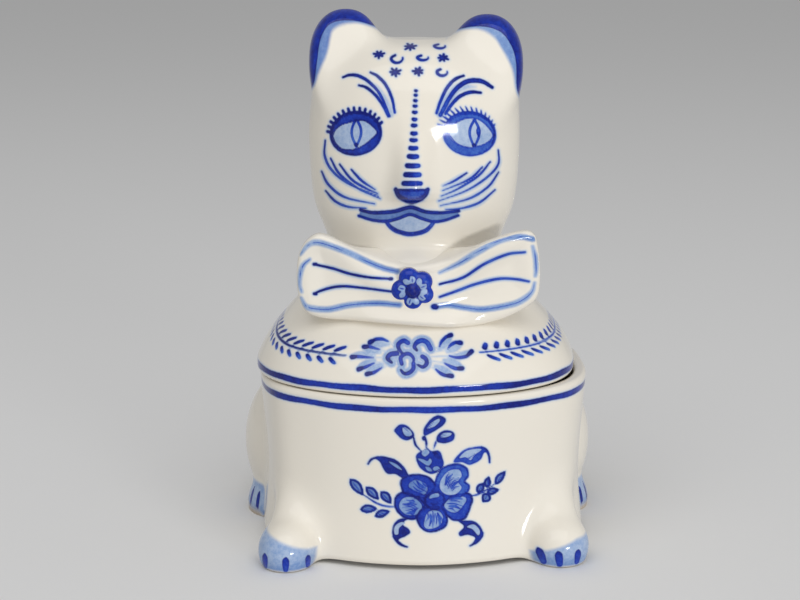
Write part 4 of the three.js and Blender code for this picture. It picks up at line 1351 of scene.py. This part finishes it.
def paint_rosette(p):
    """Cobalt all over, with a light patch and two strokes on each petal."""
    everywhere = np.ones(len(p.x), bool)
    p.lay_out(p.x, p.z, everywhere)
    p.region("line", everywhere, np.full(len(p.x), -1.2), 0.6)
    x, z = middle = np.array([ROSETTE_X, ROSETTE_Z])
    patch = [(2.5, -1.5), (2.3, 0), (2.7, 1.6), (4, 1.9), (4.3, 0.9), (3.6, -0.1), (4.6, -0.9), (3.8, -1.9)]
    for angle in np.radians(PETAL_ANGLES):
        out = np.array([math.cos(angle), math.sin(angle)])
        side = np.array([-out[1], out[0]])
        p.lift([middle + out * a + side * b for a, b in patch], 0.3)
        p.brush([middle + out * 4.4 + side * 0.4, middle + out * 5.6 + side * 0.2], 0.9, 0.15)
        p.brush([middle + out * 2.8 - side * 0.8, middle + out * 4.2 - side * 1.2], 0.45, 0.4)
    p.fill(oval(x, z, 2.5, 2.5), 0.95)
    p.brush([(x - 1.2, z + 0.4), (x - 0.2, z + 1.2), (x + 1.1, z + 0.7)], 0.8, 0)


# ---- The four pieces ----

def painted(piece, paint, *rest):
    """The piece with its painting on it."""
    painting = Painting(piece)
    paint(painting, *rest)
    painting.keep()
    return piece


def painted_outside(made, paint):
    """The same for a hollow piece, which comes with how many of its points are outside."""
    piece, outer = made
    return painted(piece, paint, np.arange(len(piece.data.vertices)) < outer)


box_piece = painted_outside(make_box(), paint_box)
lid_piece = painted_outside(make_lid(), paint_lid)
bow_piece = painted(make_bow(), paint_bow)
rosette_piece = painted(make_rosette(), paint_rosette)

seat_on_box(box_piece, 0, BOX_CENTRE_Y, 0)
for piece in (lid_piece, bow_piece, rosette_piece):
    seat_on_box(piece, LID_X, LID_Y, LID_TURN)


# ---- Glaze ----

# Colours from faint to full, for the thin washes and for the strokes, and the ivory between warm and cool.
WASH_COLOURS = ((0.46, 0.56, 0.72), (0.17, 0.29, 0.56), (0.045, 0.11, 0.40))
LINE_COLOURS = ((0.055, 0.15, 0.54), (0.008, 0.038, 0.40), (0.002, 0.007, 0.16))
IVORY_COLOURS = ((0.80, 0.745, 0.645), (0.82, 0.785, 0.71))
BLEED = (0.26, 0.38, 0.68)                 # at the edge of a dark stroke
BARE_CLAY = (0.62, 0.52, 0.40)


def set_inputs(node, values):
    for name, value in values.items():
        node.inputs[name].default_value = value


def glaze_material(name):
    """Ivory glaze over the cobalt: the two layers' distances cut soft-edged marks out of the ivory."""
    material = bpy.data.materials.new(name)
    material.use_nodes = True
    tree = material.node_tree
    link = tree.links.new
    shader = tree.nodes["Principled BSDF"]
    set_inputs(shader, {"IOR": 1.5, "Specular IOR Level": 0.3})

    def add(kind, inputs=(), output=0, **settings):
        """A node with its inputs set to numbers or linked, which gives its output socket."""
        item = tree.nodes.new(kind)
        for key, value in settings.items():
            setattr(item, key, value)
        for key, value in inputs:
            if isinstance(value, bpy.types.NodeSocket):
                link(value, item.inputs[key])
            else:
                item.inputs[key].default_value = value
        return item.outputs[output]

    place = add("ShaderNodeTexCoord", output="Object")

    def noise(scale, detail):
        return add("ShaderNodeTexNoise", (("Vector", place), ("Scale", scale), ("Detail", detail)))

    def attribute(key):
        return add("ShaderNodeAttribute", output="Fac", attribute_name=key)

    def calculate(operation, *values, clamp=False):
        return add("ShaderNodeMath", enumerate(values), operation=operation, use_clamp=clamp)

    def swing(pattern, width):
        """A pattern from nought to one, made to swing that wide about nought."""
        return calculate("MULTIPLY_ADD", pattern, width, -width / 2)

    def ramp(value, low, high, to_low=0.0, to_high=1.0):
        """Goes smoothly from to_low at low to to_high at high."""
        names = ("Value", "From Min", "From Max", "To Min", "To Max")
        ends = zip(names, (value, low, high, to_low, to_high))
        return add("ShaderNodeMapRange", ends, "Result", interpolation_type="SMOOTHSTEP")

    def blend(factor, a, b):
        return add("ShaderNodeMix", (("Factor", factor), (6, a), (7, b)), 2, data_type="RGBA")

    def shades(value, colours):
        item = tree.nodes.new("ShaderNodeValToRGB")
        link(value, item.inputs["Fac"])
        elements = item.color_ramp.elements
        while len(elements) < len(colours):
            elements.new(0.5)
        for k, colour in enumerate(colours):
            elements[k].position = k / (len(colours) - 1)
            elements[k].color = (*colour, 1)
        return item.outputs["Color"]

    fine, mottle, patches, cloud = noise(2400, 3), noise(800, 4), noise(170, 3), noise(20, 2)
    line = calculate("ADD", attribute("line"), swing(mottle, 0.26))
    wash = calculate("ADD", attribute("wash"), swing(mottle, 0.4))
    wash = calculate("MULTIPLY", wash, attribute("crisp"))
    uneven = calculate("ADD", swing(mottle, 0.9), swing(patches, 0.8))
    uneven = calculate("ADD", uneven, swing(fine, 0.5))
    depth = calculate("ADD", attribute("line_tone"), calculate("MULTIPLY", uneven, 0.75))
    depth = calculate("ADD", depth, ramp(line, -0.6, -0.1, -0.08, 0.14), clamp=True)
    thin = calculate("ADD", attribute("wash_tone"), calculate("MULTIPLY", uneven, 0.6), clamp=True)
    halo = calculate("MULTIPLY", ramp(line, 0.0, 1.1, 1.0, 0.0), 0.38)
    colour = blend(halo, shades(cloud, IVORY_COLOURS), (*WASH_COLOURS[0], 1))
    colour = blend(ramp(line, -0.05, 0.42, 0.85, 0.0), colour, (*BLEED, 1))
    colour = blend(ramp(wash, -1.0, 1.0, 1.0, 0.0), colour, shades(thin, WASH_COLOURS))
    colour = blend(ramp(line, -0.2, 0.16, 1.0, 0.0), colour, shades(depth, LINE_COLOURS))
    bare = attribute("bare")
    link(blend(bare, colour, (*BARE_CLAY, 1)), shader.inputs["Base Color"])
    smooth = ramp(patches, 0.3, 0.7, 0.07, 0.12)
    link(calculate("MAXIMUM", smooth, calculate("MULTIPLY", bare, 0.7)), shader.inputs["Roughness"])
    bump = (("Strength", 0.08), ("Distance", 0.0004), ("Height", noise(90, 2)))
    link(add("ShaderNodeBump", bump, "Normal"), shader.inputs["Normal"])
    return material


glaze = glaze_material("glaze")
for piece in (box_piece, lid_piece, bow_piece, rosette_piece):
    piece.data.materials.append(glaze)

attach(box_piece, "box")
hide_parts("box_body")
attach(lid_piece, "lid")
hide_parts("lid")
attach(bow_piece, "lid")
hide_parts("bow_tie")
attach(rosette_piece, "lid")
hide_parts("bow_rosette")


# ---- Floor, light and camera, in metres and watts ----

FLOOR_REACH = 14.0
FLOOR_COLOUR = (0.8, 0.8, 0.8, 1)
WORLD_STRENGTH = 0.42
CAMERA_LENS = 82.9
CAMERA_PLACE = (-0.0387, -0.5988, 0.206)
CAMERA_TURN = (math.radians(77.8), 0, math.radians(-3))


def add_floor():
    mesh = bpy.data.meshes.new("floor")
    corners = [(-1, -1, 0), (1, -1, 0), (1, 1, 0), (-1, 1, 0)]
    mesh.from_pydata([Vector(corner) * FLOOR_REACH for corner in corners], [], [(0, 1, 2, 3)])
    material = bpy.data.materials.new("floor")
    material.use_nodes = True
    look = {"Base Color": FLOOR_COLOUR, "Roughness": 1.0, "Specular IOR Level": 0.0}
    set_inputs(material.node_tree.nodes["Principled BSDF"], look)
    mesh.materials.append(material)
    return show("floor", mesh)


def soft_light(name, place, aim, size, power):
    lamp = bpy.data.lights.new(name, "AREA")
    lamp.shape = "RECTANGLE"
    lamp.size, lamp.size_y = size
    lamp.energy = power
    item = show(name, lamp)
    item.location = place
    item.rotation_euler = (Vector(aim) - Vector(place)).to_track_quat("-Z", "Y").to_euler()


floor = add_floor()
soft_light("window", (2.05, -4.2, 0.3), (0, -0.03, 0.125), (0.97, 0.5), 78)
soft_light("overhead", (-0.1, -0.7, 1.4), (0, 0, 0.1), (1.8, 1.2), 10)

world = bpy.data.worlds.new("world")
bpy.context.scene.world = world
world.use_nodes = True
set_inputs(world.node_tree.nodes["Background"], {"Color": (1, 1, 1, 1), "Strength": WORLD_STRENGTH})

camera = bpy.data.cameras.new("camera")
camera.lens = CAMERA_LENS
camera_item = show("camera", camera)
camera_item.location = CAMERA_PLACE
camera_item.rotation_euler = CAMERA_TURN
bpy.context.scene.camera = camera_item
bpy.context.scene.view_settings.view_transform = "Standard"
